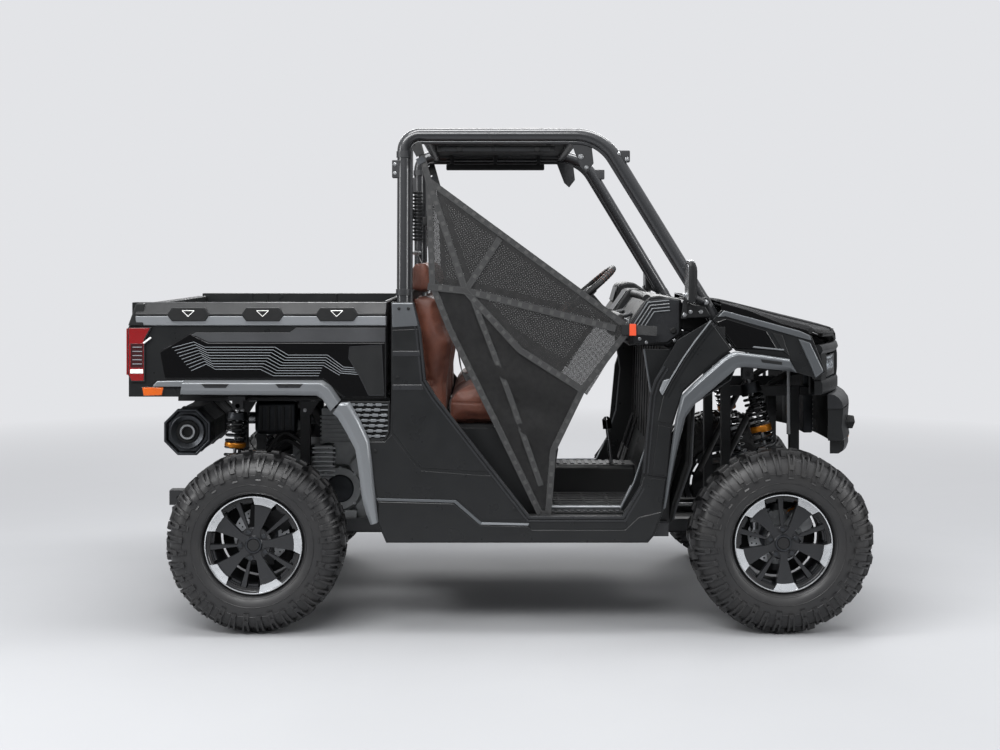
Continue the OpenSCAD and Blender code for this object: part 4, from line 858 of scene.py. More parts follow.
def calipers():
    """Brake calipers over the discs, with dark dust shields behind them that also give the wheels' windows
    painted shade.
    """
    ends = (("front", AX_F, (RIM_F_LOW.z + RIM_F_HIGH.z) / 2, RIM_F_HIGH.y, "orange"),
            ("rear", AX_R, (RIM_R_LOW.z + RIM_R_HIGH.z) / 2, RIM_R_HIGH.y, "cast"))
    for end, x, z, inner, paint in ends:
        disc = inner - 17 * MM
        for side, name in ((-1, "right"), (1, "left")):
            form = Form()
            spin = Matrix.Rotation(-math.radians(40), 4, "Y")

            def plate(outline, y0, y1, material, bevel=0.003):
                flat = [spin @ Vector((u * MM, disc + y0 * MM, v * MM)) for u, v in outline]
                form.prism(flat, (0, (y1 - y0) * MM, 0), M[material], bevel, 3)

            body = [(84, -44), (103, -50), (139, -39), (143, 0), (139, 39), (103, 50), (84, 44), (90, 0)]
            plate(body, -21, -8, paint)
            plate(body, 8, 24, "cast")
            plate([(118, -46), (139, -39), (143, 0), (139, 39), (118, 46)], -21, 24, paint)
            plate([(34, -24), (104, -36), (104, 36), (34, 24)], 17.5, 34, "cast")
            for v in (-24, 24):
                form.disc(spin @ Vector((112 * MM, disc - 21 * MM, v * MM)), (0, -1, 0), 14 * MM, 4 * MM,
                          M["cast"], 24)
                form.bolt(spin @ Vector((92 * MM, disc - 21 * MM, v * 1.6 * MM)), (0, -1, 0), 6 * MM)
            # Dark dust shield, also painted shade behind the rim's windows
            shade_guard = [(40, 12), (60, 10), (150, 10), (152, 4), (153, 4), (151, 12), (60, 12)]
            form.ring([(r * MM, disc + a * MM) for r, a in shade_guard], (0, 0, 0), (0, 1, 0), M["deep"], 48)
            place = Matrix.Translation((x, 0, z)) @ Matrix.Diagonal((1, -side, 1, 1))
            body_name = f"knuckle_{name}" if end == "front" else "chassis"
            piece(f"caliper_{end}_{name}", form.moved(place), body_name)


# Body side


def relief(form, outline, y, depth, material, bevel=0.003, segments=2):
    """A plate on a side panel, depth proud of the plane at y, on the right side."""
    form.slab(outline, -y - depth, -y + 4 * MM, material, bevel, segments)


def side_panels():
    """Panels behind the doors with their rockers, in layers as they are moulded."""
    form = Form()
    base = at(BX, [(0, 1265), (87, 1265), (114, 1159), (133, 969), (171, 908), (528, 452), (878, 452),
                   (946, 566),
                   (954, 611), (1053, 596), (1037, 475), (1003, 380), (977, 349), (-19, 349), (-57, 437),
                   (-80, 589), (-95, 737), (-19, 737), (-4, 771), (0, 893)])
    form.slab(base, -PANEL_Y + 6 * MM, -PANEL_Y + 18 * MM, M["panel"], 0.002)
    y = PANEL_Y - 6 * MM
    # Cap at the top corner, with a groove below it
    relief(form, at(BX, [(2, 1262), (84, 1262), (104, 1174), (4, 1168)]), y, 6 * MM, M["flare_dark"], 0.006,
           3)
    # Main plate between the cap and the long crease
    relief(form, at(BX, [(4, 1160), (103, 1164), (121, 969), (158, 900), (374, 618), (352, 620), (120, 634),
                         (98, 650), (6, 772)]), y, 3 * MM, M["panel"], 0.004, 3)
    # Raised bars across the post
    for z in (1072, 944):
        relief(form, at(BX, [(5, z - 14), (112 + (1072 - z) * 0.08, z - 14),
                             (110 + (1072 - z) * 0.08, z + 8), (5, z + 8)]),
               y, 5 * MM, M["fine"], 0.004, 3)
    # Lower plate under the crease
    relief(form, at(BX, [(-88, 733), (-24, 733), (2, 762), (92, 644), (116, 624), (354, 606), (384, 606),
                         (520, 440),
                         (352, 432), (258, 512), (-52, 520), (-72, 596)]), y, 1.2 * MM, M["panel"], 0.004, 3)
    # Rocker with its step
    relief(form, at(BX, [(-50, 508), (240, 500), (338, 418), (520, 414), (536, 400), (890, 400), (940, 448),
                         (1030, 470),
                         (998, 384), (973, 353), (-16, 353), (-52, 438)]), y, 6 * MM, M["panel"], 0.008, 4)
    relief(form, at(BX, [(-56, 520), (246, 512), (346, 426), (338, 418), (240, 502), (-54, 510)]), y,
           4.5 * MM, M["flare_dark"], 0.002)
    relief(form, at(BX, [(346, 428), (525, 424), (520, 416), (340, 420)]), y, 7 * MM, M["band"], 0.001)
    # Door trim along the opening: two parallel beads
    edge = [(91, 1262), (118, 1159), (137, 971), (175, 911), (531, 456), (876, 456), (942, 568)]
    for shift, width, high in ((6, 9, 5), (20, 7, 3.5)):
        inner = offset_line(edge, -shift)
        outer = offset_line(edge, -shift - width)
        relief(form, at(BX, inner + outer[::-1]), y, high * MM, M["fine"], 0.0016)
    # Kick panel between the door opening and the fender
    relief(form, at(BX, [(884, 470), (950, 560), (960, 600), (1046, 590), (1030, 480), (1000, 396),
                         (900, 404)]), y,
           3 * MM, M["panel"], 0.004, 3)
    for x, z in ((30, 1240), (66, 1240), (24, 980), (-60, 700), (470, 480)):
        form.bolt(((BX + x * MM), -PANEL_Y - 0.5 * MM, z * MM), (0, -1, 0), 4.5 * MM, M["trim"])
    # Rocker's return under the body
    form.block((BX, -PANEL_Y + 18 * MM, 349 * MM), (FX - 90 * MM, -700.5 * MM, 449 * MM), M["deep"], 0.004)
    form.mirrored()
    piece("side_panel_mouldings", form, "chassis", ["side_panel_right", "side_panel_left"])


def offset_line(points, distance):
    """An open line moved sideways by a distance, to its left where that is positive."""
    moved = []
    for i, point in enumerate(points):
        before, after = Vector(points[max(i - 1, 0)]), Vector(points[min(i + 1, len(points) - 1)])
        here = Vector(point)
        into = (here - before).normalized() if i else (after - here).normalized()
        away = (after - here).normalized() if i < len(points) - 1 else into
        left = Vector((-into.y - away.y, into.x + away.x)).normalized()
        stretch = 1 / max(0.3, left.dot(Vector((-into.y, into.x))))
        place = here + left * distance * stretch
        moved.append((place.x, place.y))
    return moved


def side_vents():
    """Louvred vents behind the cabin: a frame with rows of staggered slats."""
    form = Form()
    outline = [(-168, 886), (-6, 886), (-6, 773), (-21, 738), (-97, 738)]
    form.slab(at(BX, outline), -744 * MM, -738 * MM, M["deep"], 0.001)
    edge = outline + outline[:1]
    inner = offset_line(edge, -7)
    for (a, b), (c, d) in zip(zip(edge, edge[1:]), zip(inner, inner[1:])):
        form.slab(at(BX, [a, b, d, c]), -758 * MM, -742 * MM, M["trim"], 0.0015)
    rows = 7
    for row in range(rows):
        z = 876 - row * 20
        left = -160 + row * 10.5
        right = -10 - max(0, row - 5) * 9
        form.slab(at(BX, [(left, z), (right, z), (right, z - 5), (left, z - 5)]), -752 * MM, -742 * MM,
                  M["band"], 0.001)
        step = 34
        x = left + (row % 2) * step / 2
        while x + 24 < right:
            form.slab(at(BX, [(x, z + 3), (x + 20, z + 3), (x + 24, z - 2), (x + 20, z - 8), (x, z - 8),
                              (x - 4, z - 2)]),
                      -757 * MM, -744 * MM, M["flare"], 0.002)
            x += step
    form.mirrored()
    piece("side_vent_louvres", form, "chassis", ["side_vents"])


def flare(form, outer, inner, y_body, y_out, material, depth=60 * MM):
    """A wheel arch moulding: out from the body, over a rounded ridge, and back in at the arch."""
    sections = []
    for (x0, z0), (x1, z1) in zip(outer, inner):
        a, b = Vector((x0, 0, z0)), Vector((x1, 0, z1))
        def spot(share, y):
            p = a.lerp(b, share)
            return (p.x, -y, p.z)
        sections.append([
            spot(0, y_body), spot(0.03, y_body + (y_out - y_body) * 0.45), spot(0.16, y_out - 2 * MM),
                         spot(0.24, y_out),
            spot(0.62, y_out - 1 * MM), spot(0.7, y_out - 3.5 * MM), spot(0.97, y_out - 13 * MM),
                         spot(1, y_out - 17 * MM),
            spot(1, y_body - depth), spot(0.9, y_body - depth), spot(0.86, y_body),
        ])
    form.loft(sections, material)


def arch_flares():
    """Rear and front wheel arch mouldings on the cabin's body."""
    rear = Form()
    outer = at(AX_R, [(332, 884), (366, 886), (404, 820), (440, 742), (450, 660), (456, 592), (466, 500),
                      (474, 431)])
    inner = at(AX_R, [(300, 842), (318, 828), (352, 770), (386, 706), (400, 612), (412, 516), (428, 460),
                      (444, 420)])
    flare(rear, outer, inner, PANEL_Y + 0.4 * MM, 789 * MM, M["flare"])
    rear.mirrored()
    piece("rear_arch_flares", rear, "chassis", ["rear_flares"])
    front = Form()
    outer = at(AX_F, [(-456, 481), (-448, 540), (-441, 597), (-430, 680), (-410, 820), (-388, 910),
                      (-340, 958),
                      (-236, 1050), (-210, 1068), (-183, 1077), (-80, 1065), (-20, 1056), (21, 1050),
                      (47, 1000)])
    inner = at(AX_F, [(-447, 490), (-436, 540), (-425, 600), (-406, 690), (-372, 827), (-338, 876),
                      (-290, 918),
                      (-176, 1014), (-160, 1018), (-140, 1018), (-80, 1012), (-20, 1007), (20, 1003),
                      (44, 998)])
    flare(front, outer, inner, PANEL_Y + 2.4 * MM, 789 * MM, M["flare_dark"])
    # Long recess on the top of the moulding
    front.slab(at(AX_F, [(-90, 1050), (-10, 1040), (-8, 1028), (-84, 1037)]), -790.5 * MM, -784 * MM,
               M["trim"], 0.002)
    front.mirrored()
    piece("front_arch_flares", front, "chassis", ["front_flares"])


def fenders():
    """Front fenders: a broad moulded flank with a double bead along the door opening."""
    form = Form()
    outline = at(FX, [(166, 1197), (246, 1085), (204, 1059), (56, 922), (14, 785), (-1, 597), (-99, 611),
                      (-69, 912), (-50, 969), (-12, 1037), (37, 1121)])
    form.slab(outline, -PANEL_Y + 2 * MM, -PANEL_Y + 18 * MM, M["panel"], 0.002)
    y = PANEL_Y - 2 * MM
    # Upper flank, with a bright crease along its top
    relief(form, at(FX, [(162, 1190), (238, 1086), (200, 1064), (56, 930), (14, 800), (-40, 812), (-18, 912),
                         (12, 966), (60, 1046), (98, 1108)]), y, 4 * MM, M["panel"], 0.005, 3)
    relief(form, at(FX, [(-38, 800), (12, 788), (-3, 604), (-60, 612)]), y, 2.5 * MM, M["panel"], 0.004, 3)
    crease = [(160, 1196), (98, 1116), (56, 1056), (6, 974), (-26, 914)]
    for shift, width, high, finish in ((0, 5, 8, "band"), (-14, 5, 4, "fine"), (-26, 5, 4, "fine")):
        inner = offset_line(crease, -shift)
        outer = offset_line(crease, -shift + width)
        relief(form, at(FX, inner + outer[::-1]), y, high * MM, M[finish], 0.0016)
    relief(form, at(FX, [(6, 974), (-26, 914), (-34, 930), (-18, 968)]), y, 7 * MM, M["band"], 0.003)
    bead = [(-22, 1026), (-58, 968), (-76, 912), (-90, 760), (-103, 616)]
    for shift, width, high in ((-6, 8, 5), (-22, 6, 3.5)):
        inner = offset_line(bead, -shift)
        outer = offset_line(bead, -shift + width)
        relief(form, at(FX, inner + outer[::-1]), y, high * MM, M["fine"], 0.0016)
    form.mirrored()
    piece("front_fender_mouldings", form, "chassis", ["fender_right", "fender_left"])


def quarter_panels():
    """Panels between the front fenders and the hood, with their gloss insert and grey upper band."""
    form = Form()
    outline = at(FX, [(174, 1196), (209, 1234), (507, 1154), (552, 1135), (606, 997), (564, 967), (552, 978),
                      (495, 993), (468, 1047), (262, 1077)])
    form.slab(outline, -736 * MM, -722 * MM, M["panel"], 0.003)
    form.slab(at(FX, [(187, 1188), (225, 1203), (378, 1157), (424, 1081), (263, 1085)]), -741 * MM,
              -730 * MM, M["gloss"], 0.005, 4)
    form.slab(at(FX, [(190, 1206), (216, 1232), (508, 1153), (545, 1136), (552, 1116), (500, 1130),
                      (222, 1209)]),
              -742 * MM, -728 * MM, M["flare_dark"], 0.004, 3)
    form.slab(at(FX, [(396, 1150), (440, 1140), (470, 1052), (440, 1076)]), -739 * MM, -730 * MM, M["trim"],
              0.004, 3)
    form.slab(at(FX, [(330, 1096), (446, 1084), (444, 1079), (326, 1090)]), -743 * MM, -734 * MM, M["band"],
              0.001)
    form.slab(at(FX, [(500, 1124), (546, 1110), (598, 1000), (566, 974), (548, 1020)]), -744 * MM, -728 * MM,
              M["flare_dark"], 0.006, 3)
    form.block((FX + 180 * MM, -PANEL_Y + 18.3 * MM, 1110 * MM), (FX + 220 * MM, -731 * MM, 1170 * MM),
               M["trim"])
    form.mirrored()
    piece("front_quarter_mouldings", form, "chassis", ["quarter_panels"])


# Cargo bed


def bed_sides():
    """Bed walls with their slanted top rail, grey band and tie down pockets."""
    for side, name in ((-1, "right"), (1, "left")):
        form = Form()
        wall = at(BED_BACK, [(0, 902), (0, 1173), (984, 1173), (984, 895), (824, 895), (766, 935), (736, 916),
                             (205, 916), (196, 902)])
        form.slab(wall, -BED_SIDE_Y, -BED_WALL_Y - 0.3 * MM, M["panel"], 0.002)
        # Slanted rail in profile
        pockets = [(x - 82, x + 82) for x in (233, 516, 798)]
        top, bottom = (BED_WALL_Y + 1 * MM, BED_RAIL_Z), (BED_HALF, 1215 * MM)
        profile = [(-top[0], top[1]), (-top[0] - 8 * MM, top[1]), (-bottom[0], bottom[1] + 6 * MM),
                   (-bottom[0], 1213 * MM), (-BED_SIDE_Y + 2 * MM, 1212 * MM),
                   (-BED_WALL_Y - 0.3 * MM, 1212 * MM)]
        form.across(profile, BED_BACK + 31 * MM, BED_BACK + 984 * MM, M["trim"], 0.003)
        # Hexagon housings of the pockets, over the rail and the band, each with a small triangle
        for a, b in pockets:
            mid = (a + b) / 2
            ring = [(a, 1217), (a + 19, 1244), (b - 19, 1244), (b, 1217), (b - 19, 1191), (a + 19, 1191)]
            form.slab(at(BED_BACK, ring), -BED_HALF - 4 * MM, -BED_HALF + 22 * MM, M["trim"], 0.003, 3)
            # A dark hexagon just proud of each housing, painted shade standing for the pocket's hollow
            pocket_shade = [(mid + (x - mid) * 0.9, 1217.5 + (z - 1217.5) * 0.78) for x, z in ring]
            form.slab(at(BED_BACK, pocket_shade), -BED_HALF - 4.6 * MM, -BED_HALF - 3 * MM, M["deep"], 0.0)
            tri = at(BED_BACK, [(mid - 23, 1232), (mid + 23, 1232), (mid, 1210)])
            for (xa, za), (xb, zb) in zip(tri, tri[1:] + tri[:1]):
                form.tube([(xa, -BED_HALF - 5 * MM, za), (xb, -BED_HALF - 5 * MM, zb)], 1.3 * MM, M["bar"], 6)
        # Grey band below the rail
        band = [(-BED_HALF, 1211 * MM), (-BED_HALF, 1206 * MM), (-BED_SIDE_Y - 9 * MM, 1176 * MM),
                (-BED_SIDE_Y, 1173 * MM),
                (-BED_WALL_Y - 1 * MM, 1173 * MM), (-BED_WALL_Y - 1 * MM, 1211 * MM)]
        form.across(band, BED_BACK + 31 * MM, BED_FRONT, M["band"], 0.002)
        # End cap over the tail lamp
        form.slab(at(BED_BACK, [(0, 1174), (31, BED_RAIL_Z / MM - 1), (60, BED_RAIL_Z / MM - 1), (60, 1174)]),
                  -BED_SIDE_Y - 14 * MM, -BED_WALL_Y - 1 * MM, M["trim"], 0.005, 3)
        # Ridge lines on the recessed wall
        form.slab(at(BED_BACK, [(126, 1080), (258, 1148), (616, 1148), (640, 1166), (981, 1166), (981, 1111),
                                (304, 1111),
                                (256, 1134)]), -BED_SIDE_Y - 3 * MM, -BED_SIDE_Y + 2 * MM, M["inset"], 0.002)
        if side > 0:
            form.moved(Matrix.Diagonal((1, -1, 1, 1)))
        piece(f"bed_side_{name}_mouldings", form, "bed", [f"bed_side_{name}"])


def bed_gloss_panels():
    """Gloss panels on the bed's sides with fine grey lines that step down towards the front."""
    form = Form()
    outline = at(BED_BACK, [(121, 1073), (236, 1142), (304, 1108), (978, 1108), (978, 900), (827, 900),
                            (744, 972), (140, 972)])
    form.slab(outline, -BED_SIDE_Y - 5 * MM, -BED_SIDE_Y - 0.3 * MM, M["gloss"], 0.003, 3)
    y = BED_SIDE_Y + 5 * MM
    for i in range(9):
        drop = i * 11
        line = [(168 + i * 9, 1090 - drop), (250 + i * 6, 1112 - drop * 0.96),
                (292 + i * 5, 1092 - drop * 0.96),
                (560 - i * 7, 1092 - drop * 0.96), (610 - i * 7, 1062 - drop * 0.9),
                (760 - i * 4, 1062 - drop * 0.9),
                (822 - i * 4, 1016 - drop * 0.7), (900 - i * 4, 1010 - drop * 0.7)]
        line = [p for p in line if p[1] > 980]
        if len(line) < 2:
            continue
        path = [(x, -y, z) for x, z in at(BED_BACK, line)]
        form.strip(path, 2.0 * MM, (0, -1, 0), 0.35 * MM, M["line"])
    recess = at(BED_BACK, [(845, 1093), (967, 1101), (976, 908), (918, 908), (883, 981), (842, 1049)])
    form.slab(recess, -BED_SIDE_Y - 6.5 * MM, -BED_SIDE_Y - 4 * MM, M["trim"], 0.002)
    for a, b in zip(recess, recess[1:] + recess[:1]):
        form.strip([(a[0], -y - 1 * MM, a[1]), (b[0], -y - 1 * MM, b[1])], 3 * MM, (0, -1, 0), 1.2 * MM,
                   M["fine"])
    form.mirrored()
    piece("bed_side_gloss", form, "bed", ["bed_gloss_panels"])


def bed_flares():
    form = Form()
    outer = at(BED_BACK, [(216, 966), (400, 966), (600, 966), (742, 966), (774, 945), (812, 890)])
    inner = at(BED_BACK, [(205, 914), (400, 912), (600, 911), (722, 909), (744, 896), (774, 850)])
    flare(form, outer, inner, BED_SIDE_Y + 0.4 * MM, 784 * MM, M["flare"])
    for x in (286, 566):
        form.slab(at(BED_BACK, [(x, 956), (x + 108, 956), (x + 94, 940), (x + 14, 940)]), -785.2 * MM,
                  -778 * MM, M["fine"], 0.002)
        form.slab(at(BED_BACK, [(x + 5, 953), (x + 103, 953), (x + 98, 948), (x + 10, 948)]), -785.8 * MM,
                  -784 * MM, M["deep"], 0.0)
    form.slab(at(BED_BACK, [(92, 941), (110, 963), (222, 965), (208, 941)]), -BED_SIDE_Y - 12 * MM,
              -BED_SIDE_Y - 0.4 * MM, M["flare"], 0.004, 3)
    form.mirrored()
    piece("bed_arch_flares", form, "bed", ["bed_flares"])


def tail_lamps():
    """Red lamps with white bars, and an amber marker lamp under each."""
    form = Form()
    shell = at(BED_BACK, [(0, 1169), (92, 1169), (65, 1120), (65, 959), (12, 959), (0, 985)])
    form.slab(shell, -BED_SIDE_Y - 10 * MM, -BED_SIDE_Y - 0.3 * MM, M["trim"], 0.003, 3)
    form.slab(at(BED_BACK, [(3, 1165), (84, 1165), (60, 1121), (60, 964), (14, 964), (3, 988)]),
              -BED_SIDE_Y - 12 * MM, -BED_SIDE_Y - 4 * MM, M["red"], 0.002, 3)
    form.slab(at(BED_BACK, [(10, 1106), (58, 1106), (58, 1014), (10, 1014)]), -BED_SIDE_Y - 12.6 * MM,
              -BED_SIDE_Y - 10 * MM, M["lamp_dark"], 0.001)
    for z in (1094, 1078, 1062, 1046, 1030):
        form.slab(at(BED_BACK, [(18, z), (54, z), (54, z - 3), (18, z - 3)]), -BED_SIDE_Y - 13.4 * MM,
                  -BED_SIDE_Y - 12 * MM, M["line"], 0.0)
    form.slab(at(BED_BACK, [(9, 1008), (58, 1008), (58, 992), (9, 992)]), -BED_SIDE_Y - 13.4 * MM,
              -BED_SIDE_Y - 10 * MM, M["bar"], 0.001)
    form.slab(at(BED_BACK, [(57, 1110), (86, 1132), (90, 1127), (61, 1105)]), -BED_SIDE_Y - 13.4 * MM,
              -BED_SIDE_Y - 8 * MM, M["bar"], 0.001)
    inner_y = -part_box("tailgate")[1].y - 0.014
    form.block((BED_BACK - 7 * MM, -BED_SIDE_Y - 8 * MM, 986 * MM),
               (BED_BACK - 0.5 * MM, inner_y, 1164 * MM), M["red"], 0.002)
    for z in (1130, 1100, 1070, 1040, 1010):
        form.block((BED_BACK - 8.2 * MM, -BED_SIDE_Y, z * MM),
                   (BED_BACK - 5 * MM, inner_y - 12 * MM, (z + 6) * MM), M["bar"], 0.001)
    form.mirrored()
    piece("tail_lamp_lenses", form, "bed", ["tail_lamps"])
    marker = Form()
    marker.slab(at(BED_BACK, [(53, 938), (134, 938), (128, 908), (58, 906)]), -BED_SIDE_Y - 7 * MM,
                -BED_SIDE_Y + 2 * MM, M["amber"], 0.003, 3)
    marker.slab(at(BED_BACK, [(49, 942), (138, 942), (132, 904), (54, 902)]), -BED_SIDE_Y - 3 * MM,
                -BED_SIDE_Y + 1 * MM, M["trim"], 0.002)
    marker.mirrored()
    piece("marker_lamps", marker, "bed")


# Front end


def nose_x(y, centre, corner, half):
    """The front face in plan: x at a distance y from the centre plane."""
    return centre - (centre - corner) * (abs(y) / half) ** 2.4


FACE = (FRONT_X - 45 * MM, FRONT_X - 215 * MM, 650 * MM)
BUMPER_FACE = (FRONT_X, FRONT_X - 118 * MM, 600 * MM)


def nose_band(form, face, y0, y1, profile, material, bevel=0.0, steps=14):
    """A band along the front face from y0 to y1, in mm. The profile is (ahead of the face, height) points."""
    sections = []
    for k in range(steps + 1):
        y = (y0 + (y1 - y0) * k / steps) * MM
        x = nose_x(y, *face)
        sections.append([(x + ahead * MM, y, z * MM) for ahead, z in profile])
    form.loft(sections, material, bevel)


HOOD_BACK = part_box("hood")[0].x + 15 * MM


def piecewise(x, points):
    """A value read off a line through (x, value) points."""
    for (x0, v0), (x1, v1) in zip(points, points[1:]):
        if x <= x1:
            return v0 + (v1 - v0) * max(0.0, (x - x0) / (x1 - x0))
    return points[-1][1]


def hood_height(x, y):
    """Height of the hood's skin, with its raised middle and the creases beside it."""
    share = (x - HOOD_BACK) / (FX + 785 * MM - HOOD_BACK)
    centre = piecewise(x, [(HOOD_BACK, 1.270), (FX + 0.32, 1.254), (FX + 0.732, 1.152), (FX + 0.785, 1.100)])
    drop = piecewise(abs(y), [(0, 0), (0.29, 0.004), (0.335, 0.006), (0.352, 0.020), (0.42, 0.022),
                              (0.44, 0.009), (0.56, 0.016), (0.655, 0.024), (0.672, 0.020), (0.70, 0.034)])
    return centre - drop * (0.2 + 1.1 * min(1, share * 2.4))


def hood():
    form = Form()
    columns = [-700, -686, -672, -664, -655, -600, -560, -500, -455, -440, -425, -400, -375, -352, -343,
               -335, -322, -290, -240, -180, -120, -60]
    columns = columns + [0] + [-y for y in reversed(columns)]
    rows = []
    for k in range(29):
        t = k / 28
        row = []
        for y in columns:
            front = piecewise(abs(y), [(0, 785), (200, 770), (420, 720), (600, 640), (700, 553)]) * MM + FX
            x = HOOD_BACK + 8 * MM + (front - HOOD_BACK - 8 * MM) * (1 - (1 - t) ** 1.25)
            roll = max(0.0, t - 0.9) / 0.1
            row.append((x, y * MM, hood_height(x, y * MM) - 0.014 * roll * roll))
        rows.append(row)
    form.skin(rows, 4 * MM, M["gloss"])
    # Narrow ridge strips along the creases
    for side in SIDES:
        for y, width, lift in ((447, 7, 2.5), (664, 6, 2.0)):
            path = []
            for k in range(20):
                x = HOOD_BACK + 0.03 + k / 19 * (0.47 if y < 600 else 0.31)
                path.append((x, side * y * MM, hood_height(x, y * MM) - 1 * MM))
            form.strip(path, width * MM, (0, 0, 1), lift * MM, M["fine"])
    # Front lip
    nose = []
    for k in range(25):
        y = -0.62 + 1.24 * k / 24
        front = piecewise(abs(y), [(0, 785), (0.2, 770), (0.42, 720), (0.6, 640), (0.7, 553)]) * MM + FX
        nose.append((front - 0.006, y, hood_height(front, y) - 0.02))
    form.tube(nose, 7 * MM, M["trim"], 8)
    # Skirts under the side edges, inside the quarter panels
    stations = [HOOD_BACK + 8 * MM + (FX + 550 * MM - HOOD_BACK - 8 * MM) * k / 12 for k in range(13)]
    edge = [(x, hood_height(x, 0.697) - 2 * MM) for x in stations]
    skirt = edge + [(x, z - 42 * MM) for x, z in reversed(edge)]
    for side in SIDES:
        form.slab(skirt, *sorted((side * 0.693, side * 0.698)), M["gloss"], 0.001)
    # Hinge arms at the back
    for side in SIDES:
        form.block((HOOD_BACK - 22 * MM, side * 312 * MM - 8 * MM, 1.236),
                   (HOOD_BACK + 40 * MM, side * 312 * MM + 8 * MM, 1.252), M["trim"], 0.003)
    piece("hood_skin", form, "hood", ["hood"])


def fascia():
    """The front panel round the grille and lamps."""
    form = Form()
    nose_band(form, FACE, -650, 650, [(-30, 1060), (0, 1060), (7, 1072), (2, 1088), (-8, 1095), (-30, 1093)],
              M["panel"], steps=28)
    nose_band(form, FACE, -650, 650, [(-26, 901), (-4, 901), (5, 912), (5, 944), (-2, 958), (-26, 959)],
              M["panel"], steps=28)
    for side in SIDES:
        for a, b in ((300, 333), (598, 650)):
            nose_band(form, FACE, side * a, side * b,
                      [(-28, 955), (0, 955), (3, 985), (3, 1040), (0, 1064), (-28, 1064)],
                      M["trim"], steps=4)
    nose_band(form, FACE, -640, 640, [(-52, 905), (-46, 905), (-46, 1090), (-52, 1090)], M["deep"], steps=20)
    piece("fascia_panel", form, "chassis", ["fascia"])
    bars = Form()
    for i in range(5):
        z = 966 + i * 20
        nose_band(bars, FACE, -299, 299, [(-24, z), (-8, z - 2), (-4, z + 2), (-8, z + 8), (-24, z + 8)],
                  M["trim"])
    for y in range(-250, 251, 50):
        x = nose_x(y * MM, *FACE)
        bars.block((x - 30 * MM, (y - 4) * MM, 0.9605), (x - 12 * MM, (y + 4) * MM, 1.0595), M["fine"], 0.002)
    piece("grille_bars", bars, "chassis", ["grille"])


def headlamps():
    """Lamp units: a housing with projectors and a light bar behind a clear cover."""
    form = Form()
    for side in SIDES:
        nose_band(form, FACE, side * 332, side * 597, [(-40, 968), (-32, 968), (-32, 1047), (-40, 1047)],
                  M["gloss"])
        for y in (375, 440, 505):
            x = nose_x(y * MM, *FACE) - 32 * MM
            form.ring([(25 * MM, 0), (28 * MM, 4 * MM), (24 * MM, 14 * MM), (20 * MM, 2 * MM)],
                      (x, side * y * MM, 1.002), (1, 0, 0), M["steel"], 6, spin=(0, 0, 1))
            form.disc((x, side * y * MM, 1.002), (1, 0, 0), 17 * MM, 9 * MM, M["lens"], 24, 0.004)
        nose_band(form, FACE, side * 345, side * 585,
                  [(-24, 1032), (-16, 1031), (-15, 1036), (-17, 1041), (-24, 1041)], M["bar"])
        nose_band(form, FACE, side * 572, side * 584, [(-24, 975), (-16, 975), (-16, 1034), (-24, 1034)],
                  M["bar"], steps=2)
        nose_band(form, FACE, side * 331, side * 599, [(-9, 966), (-7, 966), (-7, 1049), (-9, 1049)],
                  M["glass"])
    piece("headlamp_units", form, "chassis", ["headlamps"])


def bumper():
    form = Form()
    upper = [(-60, 842), (-6, 842), (0, 850), (-3, 866), (-16, 884), (-34, 896), (-60, 899)]
    lower = [(-60, 661), (-26, 661), (-8, 672), (-2, 690), (-4, 716), (-60, 718)]
    middle = [(-60, 716), (-4, 716), (2, 722), (-6, 770), (-2, 812), (0, 842), (-60, 844)]
    nose_band(form, BUMPER_FACE, -600, 600, upper, M["fine"], steps=28)
    nose_band(form, BUMPER_FACE, -560, 560, lower, M["panel"], steps=28)
    for side in SIDES:
        nose_band(form, BUMPER_FACE, side * 250, side * 594, middle, M["panel"], steps=14)
        # Lamp recess and tow eye
        x = nose_x(0.4, *BUMPER_FACE)
        form.prism([(x - 0.03, side * y, z) for y,
                    z in ((0.33, 0.79), (0.46, 0.80), (0.48, 0.775), (0.44, 0.745), (0.35, 0.75))],
                   (0.036, 0, 0), M["deep"], 0.004)
        form.disc((x - 8 * MM, side * 0.4, 0.772), (1, 0, 0), 15 * MM, 16 * MM, M["lens"], 24, 0.004)
        form.ring([(16 * MM, -7 * MM), (26 * MM, -7 * MM), (26 * MM, 7 * MM), (16 * MM, 7 * MM)],
                  (FRONT_X - 20 * MM, side * 0.19, 0.69), (0, 1, 0), M["orange"], 24)
        form.block((FX + 609 * MM + 0.5 * MM, side * 240 * MM - 20 * MM, 0.862),
                   (FRONT_X - 50 * MM, side * 240 * MM + 20 * MM, 0.898), M["frame"], 0.004)
    for z in (744, 768, 792, 816):
        nose_band(form, BUMPER_FACE, -250, 250, [(-50, z), (-20, z), (-20, z + 7), (-50, z + 7)], M["trim"])
    for y in range(-225, 226, 50):
        form.block((FRONT_X - 52 * MM, (y - 3) * MM, 0.718), (FRONT_X - 26 * MM, (y + 3) * MM, 0.842),
                   M["trim"], 0.001)
    form.block((FRONT_X - 62 * MM, -0.26, 0.662), (FRONT_X - 54 * MM, 0.26, 0.898), M["deep"], 0.002)
    piece("bumper_cover", form, "chassis", ["bumper"])


# Nets in the doors

NET_LOW, NET_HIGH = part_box("net_right")
NET_THICK = 6 * MM


def net_y(z, out=0.0):
    """The middle of the leaning net on the right side, moved outwards by out."""
    share = (z - NET_LOW.z) / (NET_HIGH.z - NET_LOW.z)
    return NET_LOW.y + (NET_HIGH.y - NET_THICK - NET_LOW.y) * share + NET_THICK / 2 - out


def spans(outline, axis, value):
    """Stretches of a line inside an outline: axis 0 is a line at a fixed x, axis 1 at a fixed height."""
    other = 1 - axis
    hits = []
    for a, b in zip(outline, outline[1:] + outline[:1]):
        if (a[axis] > value) != (b[axis] > value):
            t = (value - a[axis]) / (b[axis] - a[axis])
            hits.append(a[other] + (b[other] - a[other]) * t)
    hits.sort()
    return list(zip(hits[::2], hits[1::2]))


